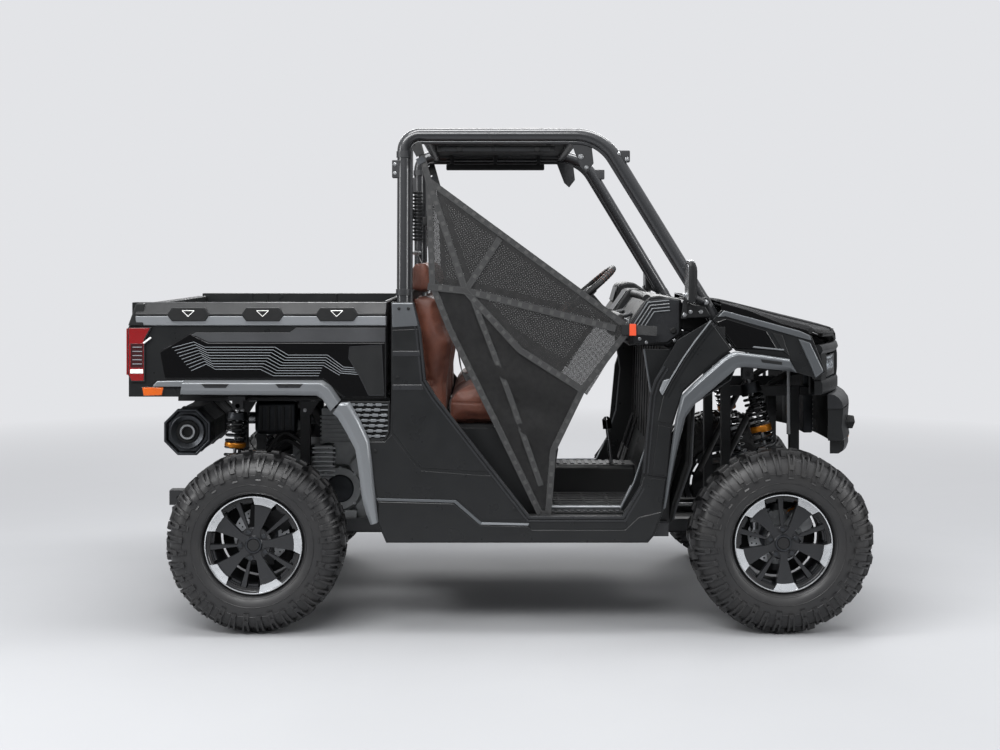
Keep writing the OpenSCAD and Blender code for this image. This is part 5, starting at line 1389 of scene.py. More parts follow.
def net_ribbon(form, a, b, width, out, thick, material):
    """A flat strap between two (x, z) points of the net's plane."""
    (x0, z0), (x1, z1) = a, b
    along = Vector((x1 - x0, z1 - z0)).normalized() * width / 2
    corners = [(x0 - along.y, z0 + along.x), (x0 + along.y, z0 - along.x), (x1 + along.y, z1 - along.x),
               (x1 - along.y, z1 + along.x)]
    form.prism([(x, net_y(z, out), z) for x, z in corners], (0, -thick, 0), material)


def doors_nets():
    """A mesh in front, cloth behind and below, and the webbing that hems and crosses them."""
    apex, front_top, front_low = (-293, 1732), (464, 1175), (464, 1136)
    knee, foot_front, foot_back, rear_low, rear = (187, 694), (168, 452), (137, 452), (-209, 1155), (-278,
                                                                                                     1328)
    cross, strap_end = (-150, 1306), (300, 925)
    mesh_zone = [(x * MM, z * MM) for x, z in (apex, front_top, front_low, (318, 905), (60, 1078), cross,
                                               rear)]
    pitch, thread = 4.4 * MM, 2.85 * MM
    for side, name in ((-1, "right"), (1, "left")):
        mirror = Matrix.Diagonal((1, -side, 1, 1))
        mesh = Form()
        # The weave slants the other way on the other side
        slant = Matrix.Rotation(math.radians(11 * side), 2)
        zone = [tuple(slant @ Vector(p)) for p in mesh_zone]
        for axis, out in ((0, 0.45 * MM), (1, -0.45 * MM)):
            low = min(p[axis] for p in zone)
            high = max(p[axis] for p in zone)
            for k in range(int((high - low) / pitch)):
                value = low + (k + 0.5) * pitch
                for a, b in spans(zone, axis, value):
                    if b - a < 4 * MM:
                        continue
                    ends = ((value, a), (value, b)) if axis == 0 else ((a, value), (b, value))
                    ends = [tuple(slant.inverted() @ Vector(end)) for end in ends]
                    net_ribbon(mesh, *ends, thread, out, 0.4 * MM, M["mesh"])
        mesh_piece = piece(f"door_net_mesh_{name}", mesh.moved(mirror), "chassis",
                           [f"net_{name}"])
        # Cloth with soft folds, between its rear and front edges
        cloth = Form()
        left = smooth_between([(*rear, 0), (*rear_low, 0), (-20, 775, 0), (*foot_back, 0)], 14)
        right = smooth_between([(*cross, 0), (60, 1078, 0), (*strap_end, 0)], 12)[:-1]
        right += smooth_between([(*strap_end, 0), (*knee, 0), (*foot_front, 0)], 9)
        rows = []
        for i, start in enumerate(left):
            end = right[round(i * (len(right) - 1) / (len(left) - 1))]
            row = []
            for k in range(19):
                t = k / 18
                p = start.lerp(end, t)
                fold = math.sin(p.y / 30 + p.x / 95) * math.sin(math.pi * t) ** 0.7 * 7.0
                fold *= max(0.0, 1 - abs(p.y - 860) / 330)
                fold += noise.noise((p.x / 90, p.y / 60, 3.0)) * 3.0 * math.sin(math.pi * t)
                row.append((p.x * MM, net_y(p.y * MM, fold * MM), p.y * MM))
            rows.append(row)
        cloth.skin(rows, 0.9 * MM, M["cloth"])
        cloth_piece = piece(f"door_net_cloth_{name}", cloth.moved(mirror), "chassis")
        straps = Form()
        def strap(points, width, out=2.0):
            points = [(x * MM, z * MM) for x, z in points]
            for a, b in zip(points, points[1:]):
                net_ribbon(straps, a, b, width * MM, out * MM - 1 * MM, 1.6 * MM, M["strap"])
                # Stitch boxes and seam threads
                run = Vector(b) - Vector(a)
                side_way = Vector((-run.y, run.x)).normalized() * (width / 2 - 3.5) * MM
                for edge in (-1, 1):
                    p, q = Vector(a) + side_way * edge, Vector(b) + side_way * edge
                    net_ribbon(straps, p, q, 1.2 * MM, out * MM + 0.5 * MM, 0.5 * MM, M["thread"])
                for k in range(1, int(run.length / 0.042)):
                    p = Vector(a) + run * (k * 0.042 / run.length)
                    net_ribbon(straps, p, p + run.normalized() * 0.015, (width - 12) * MM,
                               out * MM + 0.4 * MM, 0.6 * MM, M["thread"])
        outline = [apex, front_top, front_low, strap_end, knee, foot_front, foot_back, (-20, 775), rear_low,
                   rear, apex]
        strap(outline, 24)
        strap([apex, cross], 26, 2.6)
        strap([(-296, 1322), cross, (430, 1160)], 28, 3.2)
        strap([(-17, 1508), cross], 26, 2.8)
        strap([cross, (60, 1078), strap_end], 26, 3.0)
        strap([(-120, 1270), (20, 905), (140, 560)], 22, 2.4)
        # Upper strap and its buckle at the roof
        strap([(-334, 1880), apex], 25, 2.2)
        net_ribbon(straps, (-0.345, 1.870), (-0.325, 1.832), 34 * MM, 1 * MM, 7 * MM, M["trim"])
        net_ribbon(straps, (-0.330, 1.822), (-0.318, 1.800), 30 * MM, 1 * MM, 5 * MM, M["dark_metal"])
        # Buckle at the front pillar and its tab
        net_ribbon(straps, (0.452, 1.156), (0.482, 1.156), 40 * MM, 0, 9 * MM, M["trim"])
        net_ribbon(straps, (0.482, 1.156), (0.507, 1.156), 44 * MM, -1 * MM, 14 * MM, M["buckle"])
        net_ribbon(straps, (0.507, 1.156), (0.588, 1.150), 36 * MM, 0, 6 * MM, M["strap"])
        straps.moved(mirror)
        straps_piece = piece(f"door_net_straps_{name}", straps, "chassis")


# Seats

PAD_VOXEL = 5 * MM
PAD_FRAMES = 20
PAD_CAP = 12 * MM


def swollen(name, outline, y0, y1, inset=9.0):
    """A pad's mesh: a prism over a side profile, blown up as cloth and smoothed."""
    part = bmesh.new()
    middle = sum((Vector(p) for p in outline), Vector((0, 0))) / len(outline)
    shrunk = []
    for p in outline:
        away = Vector(p) - middle
        shrunk.append(middle + away * max(0.5, 1 - inset / away.length))
    near = [part.verts.new((x * MM, (y0 + inset) * MM, z * MM)) for x, z in shrunk]
    far = [part.verts.new((x * MM, (y1 - inset) * MM, z * MM)) for x, z in shrunk]
    part.faces.new(near)
    part.faces.new(far[::-1])
    for i, vert in enumerate(near):
        j = (i + 1) % len(near)
        part.faces.new((vert, near[j], far[j], far[i]))
    bmesh.ops.recalc_face_normals(part, faces=part.faces)
    mesh = bpy.data.meshes.new(name)
    part.to_mesh(mesh)
    part.free()
    obj = bpy.data.objects.new(name, mesh)
    bpy.context.scene.collection.objects.link(obj)
    remesh = obj.modifiers.new("Remesh", "REMESH")
    remesh.mode = "VOXEL"
    remesh.voxel_size = PAD_VOXEL
    applied(obj)
    start = [v.co.copy() for v in obj.data.vertices]
    cloth = obj.modifiers.new("Cloth", "CLOTH")
    cloth.settings.use_pressure = True
    cloth.settings.uniform_pressure_force = 4.0
    cloth.settings.effector_weights.gravity = 0.0
    cloth.settings.bending_stiffness = 2.0
    cloth.point_cache.frame_start = 1
    cloth.point_cache.frame_end = PAD_FRAMES
    for number in range(1, PAD_FRAMES + 1):
        bpy.context.scene.frame_set(number)
    applied(obj)
    bpy.context.scene.frame_set(1)
    for vert, before in zip(obj.data.vertices, start):
        move = vert.co - before
        if move.length > PAD_CAP:
            vert.co = before + move.normalized() * PAD_CAP
    smooth = obj.modifiers.new("Smooth", "SMOOTH")
    smooth.iterations = 11
    applied(obj)
    return obj


def applied(obj):
    """Puts what the modifiers give into the mesh and drops them."""
    graph = bpy.context.evaluated_depsgraph_get()
    mesh = bpy.data.meshes.new_from_object(obj.evaluated_get(graph))
    old = obj.data
    obj.modifiers.clear()
    obj.data = mesh
    bpy.data.meshes.remove(old)


def seam(obj, distance, width=5 * MM, depth=5 * MM):
    """Pulls the surface in along a seam, where distance gives each point's way from it."""
    for vert in obj.data.vertices:
        away = abs(distance(vert.co))
        if away < width * 2.2:
            vert.co -= vert.normal * depth * math.exp(-(away / width) ** 2)


def seats():
    """Three seats side by side, each with a cushion, a back and a head pad."""
    width = (2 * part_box("seat_cushions")[1].y / MM - 20) / 3
    gap = width + 10
    shapes = {
        "cushion": [(-223, 790), (-223, 870), (-200, 905), (-114, 932), (120, 905), (196, 888), (211, 860),
                    (211, 716), (150, 716), (-30, 781)],
        "back": [(-330, 985), (-352, 1150), (-362, 1286), (-268, 1286), (-242, 1210), (-210, 1108),
                 (-222, 1000), (-236, 930), (-236, 790), (-305, 790)],
        "head": [(-366, 1300), (-368, 1392), (-352, 1418), (-304, 1420), (-288, 1396), (-268, 1300)],
    }
    for kind, outline in shapes.items():
        first = swollen(f"seat_{kind}_middle", outline, -width / 2, width / 2)
        half = width / 2 * MM
        if kind == "cushion":
            seam(first, lambda p: abs(p.y) - half * 0.62 if p.z > 0.84 else 1, 4 * MM, 4.5 * MM)
            for x in (-90, -10, 70):
                seam(first, lambda p: p.x - x * MM if abs(p.y) < half * 0.6 and p.z > 0.84 else 1, 4 * MM,
                     4 * MM)
            seam(first, lambda p: p.z - 0.866 + (p.x + 0.22) * 0.02, 3 * MM, 3 * MM)
        elif kind == "back":
            seam(first, lambda p: abs(p.y) - half * 0.62 if p.x > -0.30 else 1, 4 * MM, 4.5 * MM)
            for z in (960, 1040, 1120, 1200):
                seam(first, lambda p: p.z - z * MM if abs(p.y) < half * 0.6 and p.x > -0.30 else 1, 4 * MM,
                     4 * MM)
            seam(first, lambda p: p.x + 0.300 + (p.z - 1.0) * 0.16 if p.z > 0.8 else 1, 3 * MM, 3 * MM)
        else:
            seam(first, lambda p: p.x + 0.325, 3 * MM, 3 * MM)
        first.data.materials.append(M["leather"])
        for polygon in first.data.polygons:
            polygon.use_smooth = True
        for place in (-1, 0, 1):
            side = "right" if place < 0 else "left"
            obj = first if place == 0 else bpy.data.objects.new(f"seat_{kind}_{side}", first.data.copy())
            if place:
                obj.data.transform(Matrix.Translation((0, place * gap * MM, 0)))
                bpy.context.scene.collection.objects.link(obj)
            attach(obj, "chassis")
            if place == 0 and kind != "head":
                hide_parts("seat_cushions" if kind == "cushion" else "seat_backs")
    shell = Form()
    for place in (-1, 0, 1):
        middle = place * gap
        # Shell behind the back and posts of the head pad
        outline = [(x * MM, z * MM) for x, z in ((-372, 1300), (-362, 1300), (-352, 1150), (-330, 985),
                                                 (-305, 800), (-315, 790),
                                                  (-340, 985), (-366, 1290))]
        shell.slab(outline, (middle - width / 2 + 8) * MM, (middle + width / 2 - 8) * MM, M["trim"], 0.003)
        for y in (-55, 55):
            shell.tube([(-0.322, (middle + y) * MM, 1.27), (-0.322, (middle + y) * MM, 1.32)], 7 * MM,
                       M["steel"], 12)
    piece("seat_shells", shell, "chassis")


# Suspension


def coil(form, a, b, radius, wire, turns, material):
    """A helical spring between two points, with closed ends."""
    a, b = Vector(a), Vector(b)
    run = b - a
    along = run.normalized()
    side = along.orthogonal().normalized()
    other = along.cross(side)
    steps = int(turns * 20)
    path = []
    for k in range(steps + 1):
        t = k / steps
        spot = a + run * t
        angle = t * turns * math.tau
        path.append(spot + radius * (math.cos(angle) * side + math.sin(angle) * other))
    form.tube(path, wire, material, 8)


def shocks():
    form = Form()
    for top, foot in ((Vector((AX_F - 73 * MM, -0.408, 0.965)), Vector((AX_F + 84 * MM, -0.440, 0.325))),
                      (Vector((AX_R - 112 * MM, -0.455, 0.840)), Vector((AX_R - 150 * MM, -0.455, 0.386)))):
        run = top - foot
        length = run.length
        def spot(share):
            return foot + run * share
        form.tube([spot(0.02), spot(0.5)], 22 * MM, M["dark_metal"], 24)
        form.tube([spot(0.49), spot(0.52)], 25 * MM, M["steel"], 24)
        form.tube([spot(0.5), spot(0.97)], 7 * MM, M["steel"], 16)
        form.tube([spot(0.88), spot(0.94)], [42 * MM, 36 * MM], M["dark_metal"], 24)
        form.tube([spot(0.30), spot(0.33)], [38 * MM, 44 * MM], M["dark_metal"], 24)
        coil(form, spot(0.33), spot(0.64), 37 * MM, 6.5 * MM, 6.5 * length / 0.65, M["spring"])
        coil(form, spot(0.67), spot(0.88), 37 * MM, 6.0 * MM, 6.5 * length / 0.65, M["spring"])
        form.tube([spot(0.635), spot(0.645), spot(0.665), spot(0.675)], [41 * MM, 43 * MM, 43 * MM, 41 * MM],
                  M["orange"], 24)
        form.tube([spot(0.76), spot(0.86)], 19 * MM, M["rubber"], 20)
        for end, r in ((top, 17), (foot, 20)):
            form.ring([(8 * MM, -16 * MM), (r * MM, -16 * MM), (r * MM, 16 * MM), (8 * MM, 16 * MM)], end,
                      (0, 1, 0), M["dark_metal"], 24)
            form.disc(end + Vector((0, -19 * MM, 0)), (0, -1, 0), 11 * MM, 5 * MM, M["steel"], 6)
            form.tube([end + Vector((0, -18 * MM, 0)), end + Vector((0, 18 * MM, 0))], 7.9 * MM, M["steel"],
                      12)
    form.mirrored()
    piece("shock_springs", form, "chassis", ["shock_absorbers"])


# Cage and cabin

CAGE_FOOT = (694 * MM, 470 * MM)
CAGE_AXIS = (615 * MM, CAGE_TOP - 25.5 * MM)


def cage_y(z):
    """How far the leaning cage stands from the centre plane at a height."""
    share = (z - CAGE_FOOT[1]) / (CAGE_AXIS[1] - CAGE_FOOT[1])
    return CAGE_FOOT[0] + (CAGE_AXIS[0] - CAGE_FOOT[0]) * share


def rounded(points, radii, steps=10):
    """A line through (x, z) points with its corners rounded."""
    curve = [Vector(points[0])]
    for a, b, c, radius in zip(points, points[1:], points[2:], radii):
        a, b, c = Vector(a), Vector(b), Vector(c)
        u, v = (a - b).normalized(), (c - b).normalized()
        half = u.angle(v) / 2
        centre = b + (u + v).normalized() * (radius / math.sin(half))
        start, end = (b + w * (radius / math.tan(half)) - centre for w in (u, v))
        for k in range(steps + 1):
            curve.append(centre + start.lerp(end, k / steps).normalized() * radius)
    curve.append(Vector(points[-1]))
    return curve


def leaning(points):
    """Points of the side view laid on the cage's plane on the right side."""
    return [(x, -cage_y(z), z) for x, z in points]


def cage():
    form = Form()
    top = CAGE_AXIS[1]
    rear, roof_end, foot = BX + 40 * MM, FX - 241 * MM, (FX + 223 * MM, 1146 * MM)
    main = rounded([(rear, CAGE_FOOT[1]), (rear, top), (roof_end, top), foot], (62 * MM, 184 * MM), 14)
    form.tube(leaning(main), 25.6 * MM, M["cage"], 28)
    inset = 28 * MM
    flange = rounded([(rear + inset, CAGE_FOOT[1] + 20 * MM), (rear + inset, top - inset),
                      (roof_end - 15 * MM, top - inset), (foot[0] - 34 * MM, foot[1] + 14 * MM)],
                     (34 * MM, 156 * MM), 12)
    form.tube(leaning(flange), 8.2 * MM, M["cage"], 14)
    # Collars where the tubes join, and the clamp of the rear bracket
    joints = (((rear, 1.836), (0, 0, 1)), ((rear, 1.30), (0, 0, 1)), ((rear, 0.62), (0, 0, 1)),
              ((FX + 150 * MM, 1.262), (0.52, 0, -0.85)))
    for (x, z), axis in joints:
        form.ring([(25 * MM, -13 * MM), (29 * MM, -12 * MM), (29 * MM, 12 * MM), (25 * MM, 13 * MM)],
                  (x, -cage_y(z), z), axis, M["frame"], 32)
    # Bracket for a rear panel
    y = -cage_y(1.78)
    form.block((BX - 5 * MM, y - 21 * MM, 1.744), (BX + 31 * MM, y + 21 * MM, 1.813), M["frame"], 0.003)
    for z in (1.762, 1.796):
        form.bolt((BX + 6 * MM, y - 21 * MM, z), (0, -1, 0), 5.5 * MM)
    # Bracket for a windscreen, outside the bend
    y = -cage_y(1.83)
    form.block((FX - 186 * MM, y - 17 * MM, 1.805), (FX - 132 * MM, y + 17 * MM, 1.851), M["frame"], 0.004)
    for x, z in ((-176, 1.838), (-144, 1.816)):
        form.bolt((FX + x * MM, y - 17 * MM, z), (0, -1, 0), 6 * MM)
    # Latch of the roof inside the bend, and a knob below it
    latch = [(262, 1882), (300, 1881), (342, 1870), (350, 1802), (322, 1766), (298, 1788)]
    form.slab(at(0, latch), -cage_y(1.82) + 4 * MM, -cage_y(1.82) + 12 * MM, M["frame"], 0.002)
    form.bolt((0.300, -cage_y(1.82) + 4 * MM, 1.828), (0, -1, 0), 8 * MM)
    form.bolt((0.322, -cage_y(1.82) + 4 * MM, 1.786), (0, -1, 0), 6 * MM)
    # Feet with their bolts
    form.block((BX + 11 * MM, -CAGE_FOOT[0] - 31 * MM, 0.465), (BX + 69 * MM, -CAGE_FOOT[0] + 31 * MM, 0.473),
               M["frame"], 0.002)
    y = -cage_y(1.146)
    form.block((FX + 189 * MM, y - 31 * MM, 1.1182), (FX + 251 * MM, y + 31 * MM, 1.147), M["frame"], 0.003)
    for x, z in ((205, 1.132), (236, 1.132)):
        form.bolt((FX + x * MM, y - 31 * MM, z), (0, -1, 0), 7 * MM)
    form.mirrored()
    piece("cage_tubes", form, "chassis", ["cage_right", "cage_left"])
    bars = Form()
    for x, z, r in ((BX + 40 * MM, 1.455, 9), (BX + 48 * MM, 1.186, 9)):
        y = cage_y(z) - 20 * MM
        bars.tube([(x, -y, z), (x, y, z)], r * MM, M["steel"], 16)
    piece("cage_cross_rods", bars, "chassis")


def roof():
    """The roof sheet's liner and the console that hangs under its right edge."""
    form = Form()
    y = cage_y(CAGE_AXIS[1]) - 36 * MM
    under = CAGE_AXIS[1] + 12 * MM
    form.block((BX + 112 * MM, -y, under - 10 * MM), (FX - 334 * MM, y, under - 0.5 * MM), M["deep"], 0.003)
    for side in SIDES:
        low, high = sorted((side * 0.560, side * 0.590))
        form.block((-0.262, low, 1.846), (0.202, high, 1.874), M["trim"], 0.005)
        form.block((-0.245, side * 0.591 - 1.5 * MM, 1.852), (0.180, side * 0.591 + 1.5 * MM, 1.868),
                   M["fine"], 0.001)
        for x in (-0.175, 0.130):
            form.disc((x, side * 0.592, 1.860), (0, side, 0), 12 * MM, 8 * MM, M["deep"], 24, 0.002)
        for x in (-0.235, -0.03, 0.175):
            form.block((x - 9 * MM, side * 0.575 - 6 * MM, 1.872),
                       (x + 9 * MM, side * 0.575 + 6 * MM, under - 5 * MM), M["frame"], 0.002)
    piece("roof_liner", form, "chassis")


def cabin():
    """Floor with its mats, sills, tunnel cover and the walls ahead of and behind the seats."""
    form = Form()
    # Floor mats on both sides of the tunnel, with raised bars
    for side in SIDES:
        low, high = sorted((side * 0.115, side * 0.645))
        form.block((FX - 438 * MM, low, 0.4262), (FX - 66 * MM, high, 0.434), M["mat"], 0.004)
        for i in range(9):
            a, b = sorted((side * (0.14 + i * 0.057), side * (0.175 + i * 0.057)))
            form.block((FX - 420 * MM, a, 0.433), (FX - 84 * MM, b, 0.441), M["mat"], 0.003)
        for x in (-400, -300, -200, -110):
            a, b = sorted((side * 0.135, side * 0.640))
            form.block((FX + x * MM, a, 0.433), (FX + (x + 14) * MM, b, 0.439), M["mat"], 0.003)
        # Bright sill trim with a grip pattern
        a, b = sorted((side * 0.657, side * 0.700))
        form.block((FX - 500 * MM, a, 0.449), (FX - 168 * MM, b, 0.456), M["trim"], 0.002)
        for k in range(13):
            x = FX - 492 * MM + k * 25 * MM
            form.block((x, a + 6 * MM, 0.455), (x + 14 * MM, b - 6 * MM, 0.459), M["fine"], 0.001)
        form.tube([(FX - 505 * MM, side * 0.652, 0.466), (FX - 170 * MM, side * 0.652, 0.466),
                   (FX - 128 * MM, side * 0.652, 0.548)], 6 * MM, M["band"], 10)
        # Kick panel beside the feet with an edge strip
        a, b = sorted((side * 0.650, side * 0.657))
        panel = [(-60, 430), (4, 640), (18, 1078), (-80, 1080), (-52, 900), (-72, 700), (-118, 560),
                 (-170, 458), (-130, 430)]
        form.slab(at(FX, panel), a, b, M["panel"], 0.002)
        edge = [(-170, 462), (-118, 562), (-72, 702), (-52, 902), (-80, 1078)]
        form.tube([(x, side * 0.656, z) for x, z in at(FX, edge)], 5 * MM, M["flare_dark"], 10)
    # Tunnel cover with a tray of slots
    tunnel = [(-97, 0.427), (-82, 0.534), (-64, 0.5465), (64, 0.5465), (82, 0.534), (97, 0.427)]
    form.across([(y * MM, z) for y, z in tunnel], FX - 440 * MM, FX - 58 * MM, M["trim"], 0.006)
    for k in range(11):
        x = FX - 424 * MM + k * 31 * MM
        form.block((x, -0.052, 0.546), (x + 17 * MM, 0.052, 0.5505), M["fine"], 0.002)
    # Shift lever beside the driver
    form.tube([(FX - 150 * MM, 0.02, 0.545), (FX - 168 * MM, 0.02, 0.70)], 8 * MM, M["steel"], 12)
    form.disc((FX - 166 * MM, 0.02, 0.69), (-0.1, 0, 1), 20 * MM, 52 * MM, M["gloss"], 20, 0.012)
    # Pedals ahead of the driver
    for y, wide in ((0.36, 34), (0.20, 56)):
        form.tube([(FX - 22 * MM, y, 0.72), (FX - 78 * MM, y, 0.545)], 7 * MM, M["frame"], 10)
        form.prism([(FX - 92 * MM, y - wide * MM, 0.515), (FX - 92 * MM, y + wide * MM, 0.515),
                    (FX - 70 * MM, y + wide * MM, 0.585), (FX - 70 * MM, y - wide * MM, 0.585)],
                   (8 * MM, 0, -3 * MM), M["rubber"], 0.002)
    # Ribs of the front wall and of the wall behind the seats
    for y in range(-600, 601, 100):
        form.prism([(FX - 1 * MM, (y - 14) * MM, 0.65), (FX + 12 * MM, (y - 14) * MM, 1.07),
                    (FX + 12 * MM, (y + 14) * MM, 1.07), (FX - 1 * MM, (y + 14) * MM, 0.65)],
                   (-4 * MM, 0, 0), M["trim"], 0.001)
    for y in range(-550, 551, 110):
        form.block((BX + 9 * MM, (y - 40) * MM, 0.83), (BX + 13 * MM, (y + 40) * MM, 1.22), M["trim"], 0.003)
    piece("cabin_lining", form, "chassis")
    base = Form()
    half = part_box("seat_base")[1].y
    for side in SIDES:
        # Lids on the seat base's sides and front, and a bright edge strip
        outline = at(BX, [(72, 440), (586, 440), (628, 690), (390, 768), (72, 768)])
        low, high = sorted((side * (half + 0.3 * MM), side * (half + 5 * MM)))
        base.slab(outline, low, high, M["panel"], 0.004)
        edge = at(BX, [(590, 442), (632, 694), (392, 774)])
        base.tube([(x, side * (half + 5 * MM), z) for x, z in edge], 4 * MM, M["band"], 8)
        low, high = sorted((side * 0.215, side * (half - 0.012)))
        for z0, z1 in ((0.445, 0.49), (0.50, 0.685)):
            x0, x1 = (FX - 455 * MM + 43 * MM * (z - 0.4263) / 0.2737 for z in (z0, z1))
            base.prism([(x0 + 1 * MM, low, z0), (x0 + 1 * MM, high, z0), (x1 + 1 * MM, high, z1),
                        (x1 + 1 * MM, low, z1)],
                       (5 * MM, 0, 0), M["panel"], 0.003)
    piece("seat_base_lids", base, "chassis")


WHEEL_X, WHEEL_Y, WHEEL_Z = FX - 244 * MM, 350 * MM, 1.270
COLUMN_TILT = math.radians(49)


def dash():
    """Dashboard in layers: roll, instrument hood, screen console, glove box, vents and the grab bar."""
    form = Form()
    x0 = FX - 137 * MM
    body = at(FX, [(-137, 1091), (-137, 1180), (-120, 1206), (-80, 1262), (-58, 1282), (-20, 1287),
                   (67, 1272), (67, 1131), (20, 1091)])
    form.slab(body, -0.640, 0.640, M["panel"], 0.008, 3)
    # Padded roll along the top edge and a lighter strip below it
    form.tube([(FX - 66 * MM, y * MM, 1.280 - 0.006 * (abs(y) > 600)) for y in range(-636, 637, 106)],
              16 * MM, M["trim"], 16)
    form.prism([(x0 - 3 * MM, -0.632, 1.176), (x0 - 3 * MM, 0.632, 1.176), (x0 - 3 * MM, 0.632, 1.192),
                (x0 - 3 * MM, -0.632, 1.192)], (6 * MM, 0, 0), M["band"], 0.002)
    # End caps, seen through the door openings
    for side in SIDES:
        low, high = sorted((side * 0.640, side * 0.648))
        form.slab(at(FX, [(-120, 1100), (-128, 1176), (-70, 1268), (20, 1276), (58, 1266), (58, 1140),
                          (10, 1104)]), low, high,
                  M["fine"], 0.003)
        low, high = sorted((side * 0.648, side * 0.653))
        # Four bright strips along each cap's upper edge: painted highlights
        for k, shift in enumerate((0, -13, -26, -39)):
            line = offset_line([(-120, 1176), (-64, 1262), (18, 1270)], shift)
            edge = offset_line(line, -4)
            form.slab(at(FX, line + edge[::-1]), low, high, M["steel" if k == 1 else "band"], 0.001)
        form.disc((FX + 34 * MM, side * 0.648, 1.150), (0, side, 0), 12 * MM, 7 * MM, M["deep"], 32, 0.003)
        for x, z in ((-96, 1118), (-70, 1104), (40, 1112)):
            form.bolt((FX + x * MM, side * 0.648, z * MM), (0, side, 0), 5 * MM)
        # Round air vents on the face
        for y in (0.585, 0.16):
            form.ring([(26 * MM, 0), (28 * MM, 9 * MM), (35 * MM, 9 * MM), (38 * MM, 0)],
                      (x0 - 1 * MM, side * y, 1.142), (-1, 0, 0), M["fine"], 32)
            for dz in (-14, 0, 14):
                form.block((x0 - 6 * MM, side * y - 25 * MM, 1.142 + (dz - 2) * MM),
                           (x0, side * y + 25 * MM, 1.142 + (dz + 2) * MM), M["deep"], 0.0)
    # Instrument hood and its dial screen
    hood = at(FX, [(-118, 1224), (-104, 1300), (-96, 1314), (-60, 1322), (-28, 1320), (34, 1278)])
    form.slab(hood, WHEEL_Y - 118 * MM, WHEEL_Y + 118 * MM, M["trim"], 0.010, 4)
    face = [(-121, 1238), (-103, 1300)]
    (xa, za), (xb, zb) = at(FX, face)
    form.prism([(xa, WHEEL_Y - 95 * MM, za), (xa, WHEEL_Y + 95 * MM, za), (xb, WHEEL_Y + 95 * MM, zb),
                (xb, WHEEL_Y - 95 * MM, zb)], (-3 * MM, 0, 1 * MM), M["screen"], 0.002)
    # Middle console with a screen, knobs and switches
    console = at(FX, [(-161, 1100), (-155, 1196), (-86, 1298), (-40, 1300), (-40, 1100)])
    form.slab(console, -0.107, 0.107, M["trim"], 0.007, 3)
    (xa, za), (xb, zb) = at(FX, [(-152, 1204), (-90, 1294)])
    form.prism([(xa, -0.090, za), (xa, 0.090, za), (xb, 0.090, zb), (xb, -0.090, zb)], (-3 * MM, 0, 2 * MM),
               M["screen"], 0.002)
    for y in (-66, -22, 22, 66):
        form.disc((x0 - 22 * MM, y * MM, 1.168), (-1, 0, 0.1), 14 * MM, 13 * MM, M["gloss"], 24, 0.003)
        form.block((x0 - 27 * MM, (y - 15) * MM, 1.112), (x0 - 20 * MM, (y + 15) * MM, 1.140), M["fine"],
                   0.003)
    # Glove box lid with its latch, and the passenger's grab bar
    form.block((x0 - 5 * MM, -0.562, 1.106), (x0 + 2 * MM, -0.238, 1.172), M["fine"], 0.005)
    form.block((x0 - 10 * MM, -0.425, 1.150), (x0 - 3 * MM, -0.375, 1.164), M["gloss"], 0.003)
    bar = x0 - 26 * MM
    for y in (-0.56, -0.24):
        form.tube([(bar, y, 1.200), (x0 + 20 * MM, y, 1.214)], 9.5 * MM, M["frame"], 14)
    form.tube([(bar, -0.583, 1.200), (bar, -0.575, 1.200), (bar, -0.225, 1.200), (bar, -0.217, 1.200)],
              [9 * MM, 13 * MM, 13 * MM, 9 * MM], M["rubber"], 20)
    piece("dashboard_layers", form, "chassis", ["dashboard"])


def steering():
    """The wheel's stitched grip, spokes and hub, and the column's shroud."""
    form = Form()
    # Drawn flat with its axis along Z, towards the dashboard, then tilted
    grip = [(185 - 15 + 15.4 * math.cos(t * math.tau / 20), 15.4 * math.sin(t * math.tau / 20))
            for t in range(20)]
    form.ring([(r * MM, a * MM) for r, a in grip], (0, 0, 0), (0, 0, 1), M["trim"], 96)
    for start in (0, 90, 180, 270):
        for k in range(5):
            t = math.radians(start + 30 + k * 7)
            spot = Vector((170 * math.cos(t), 170 * math.sin(t), 0)) * MM
            form.ring([(15 * MM, -1.4 * MM), (16.6 * MM, -1 * MM), (16.6 * MM, 1 * MM), (15 * MM, 1.4 * MM)],
                      spot, (-math.sin(t), math.cos(t), 0), M["leather"], 20)
    for i in range(3):
        spin = Matrix.Rotation(math.radians(90 + i * 120), 4, "Z")
        arm = [(38, -20), (90, -16), (150, -12), (160, -16), (160, 16), (150, 12), (90, 16), (38, 20)]
        flat = [spin @ Vector((x * MM, y * MM, -4 * MM)) for x, y in arm]
        form.prism(flat, spin @ Vector((0, 0, 15 * MM)), M["fine"], 0.003, 3)
        slot = [(70, -7), (120, -6), (120, 6), (70, 7)]
        flat = [spin @ Vector((x * MM, y * MM, -5.5 * MM)) for x, y in slot]
        form.prism(flat, spin @ Vector((0, 0, 2 * MM)), M["steel"], 0.0005)
    form.disc((0, 0, 29 * MM), (0, 0, -1), 50 * MM, 37 * MM, M["trim"], 40, 0.008)
    form.disc((0, 0, -7 * MM), (0, 0, -1), 30 * MM, 4 * MM, M["gloss"], 40, 0.002)
    form.disc((0, 0, 20 * MM), (0, 0, 1), 12 * MM, 60 * MM, M["steel"], 20)
    tilt = Matrix.Translation((WHEEL_X, WHEEL_Y, WHEEL_Z)) @ Matrix.Rotation(math.pi / 2 + COLUMN_TILT, 4,
                                                                             "Y")
    piece("steering_wheel_grip", form.moved(tilt), "steering_wheel", ["steering_wheel"])


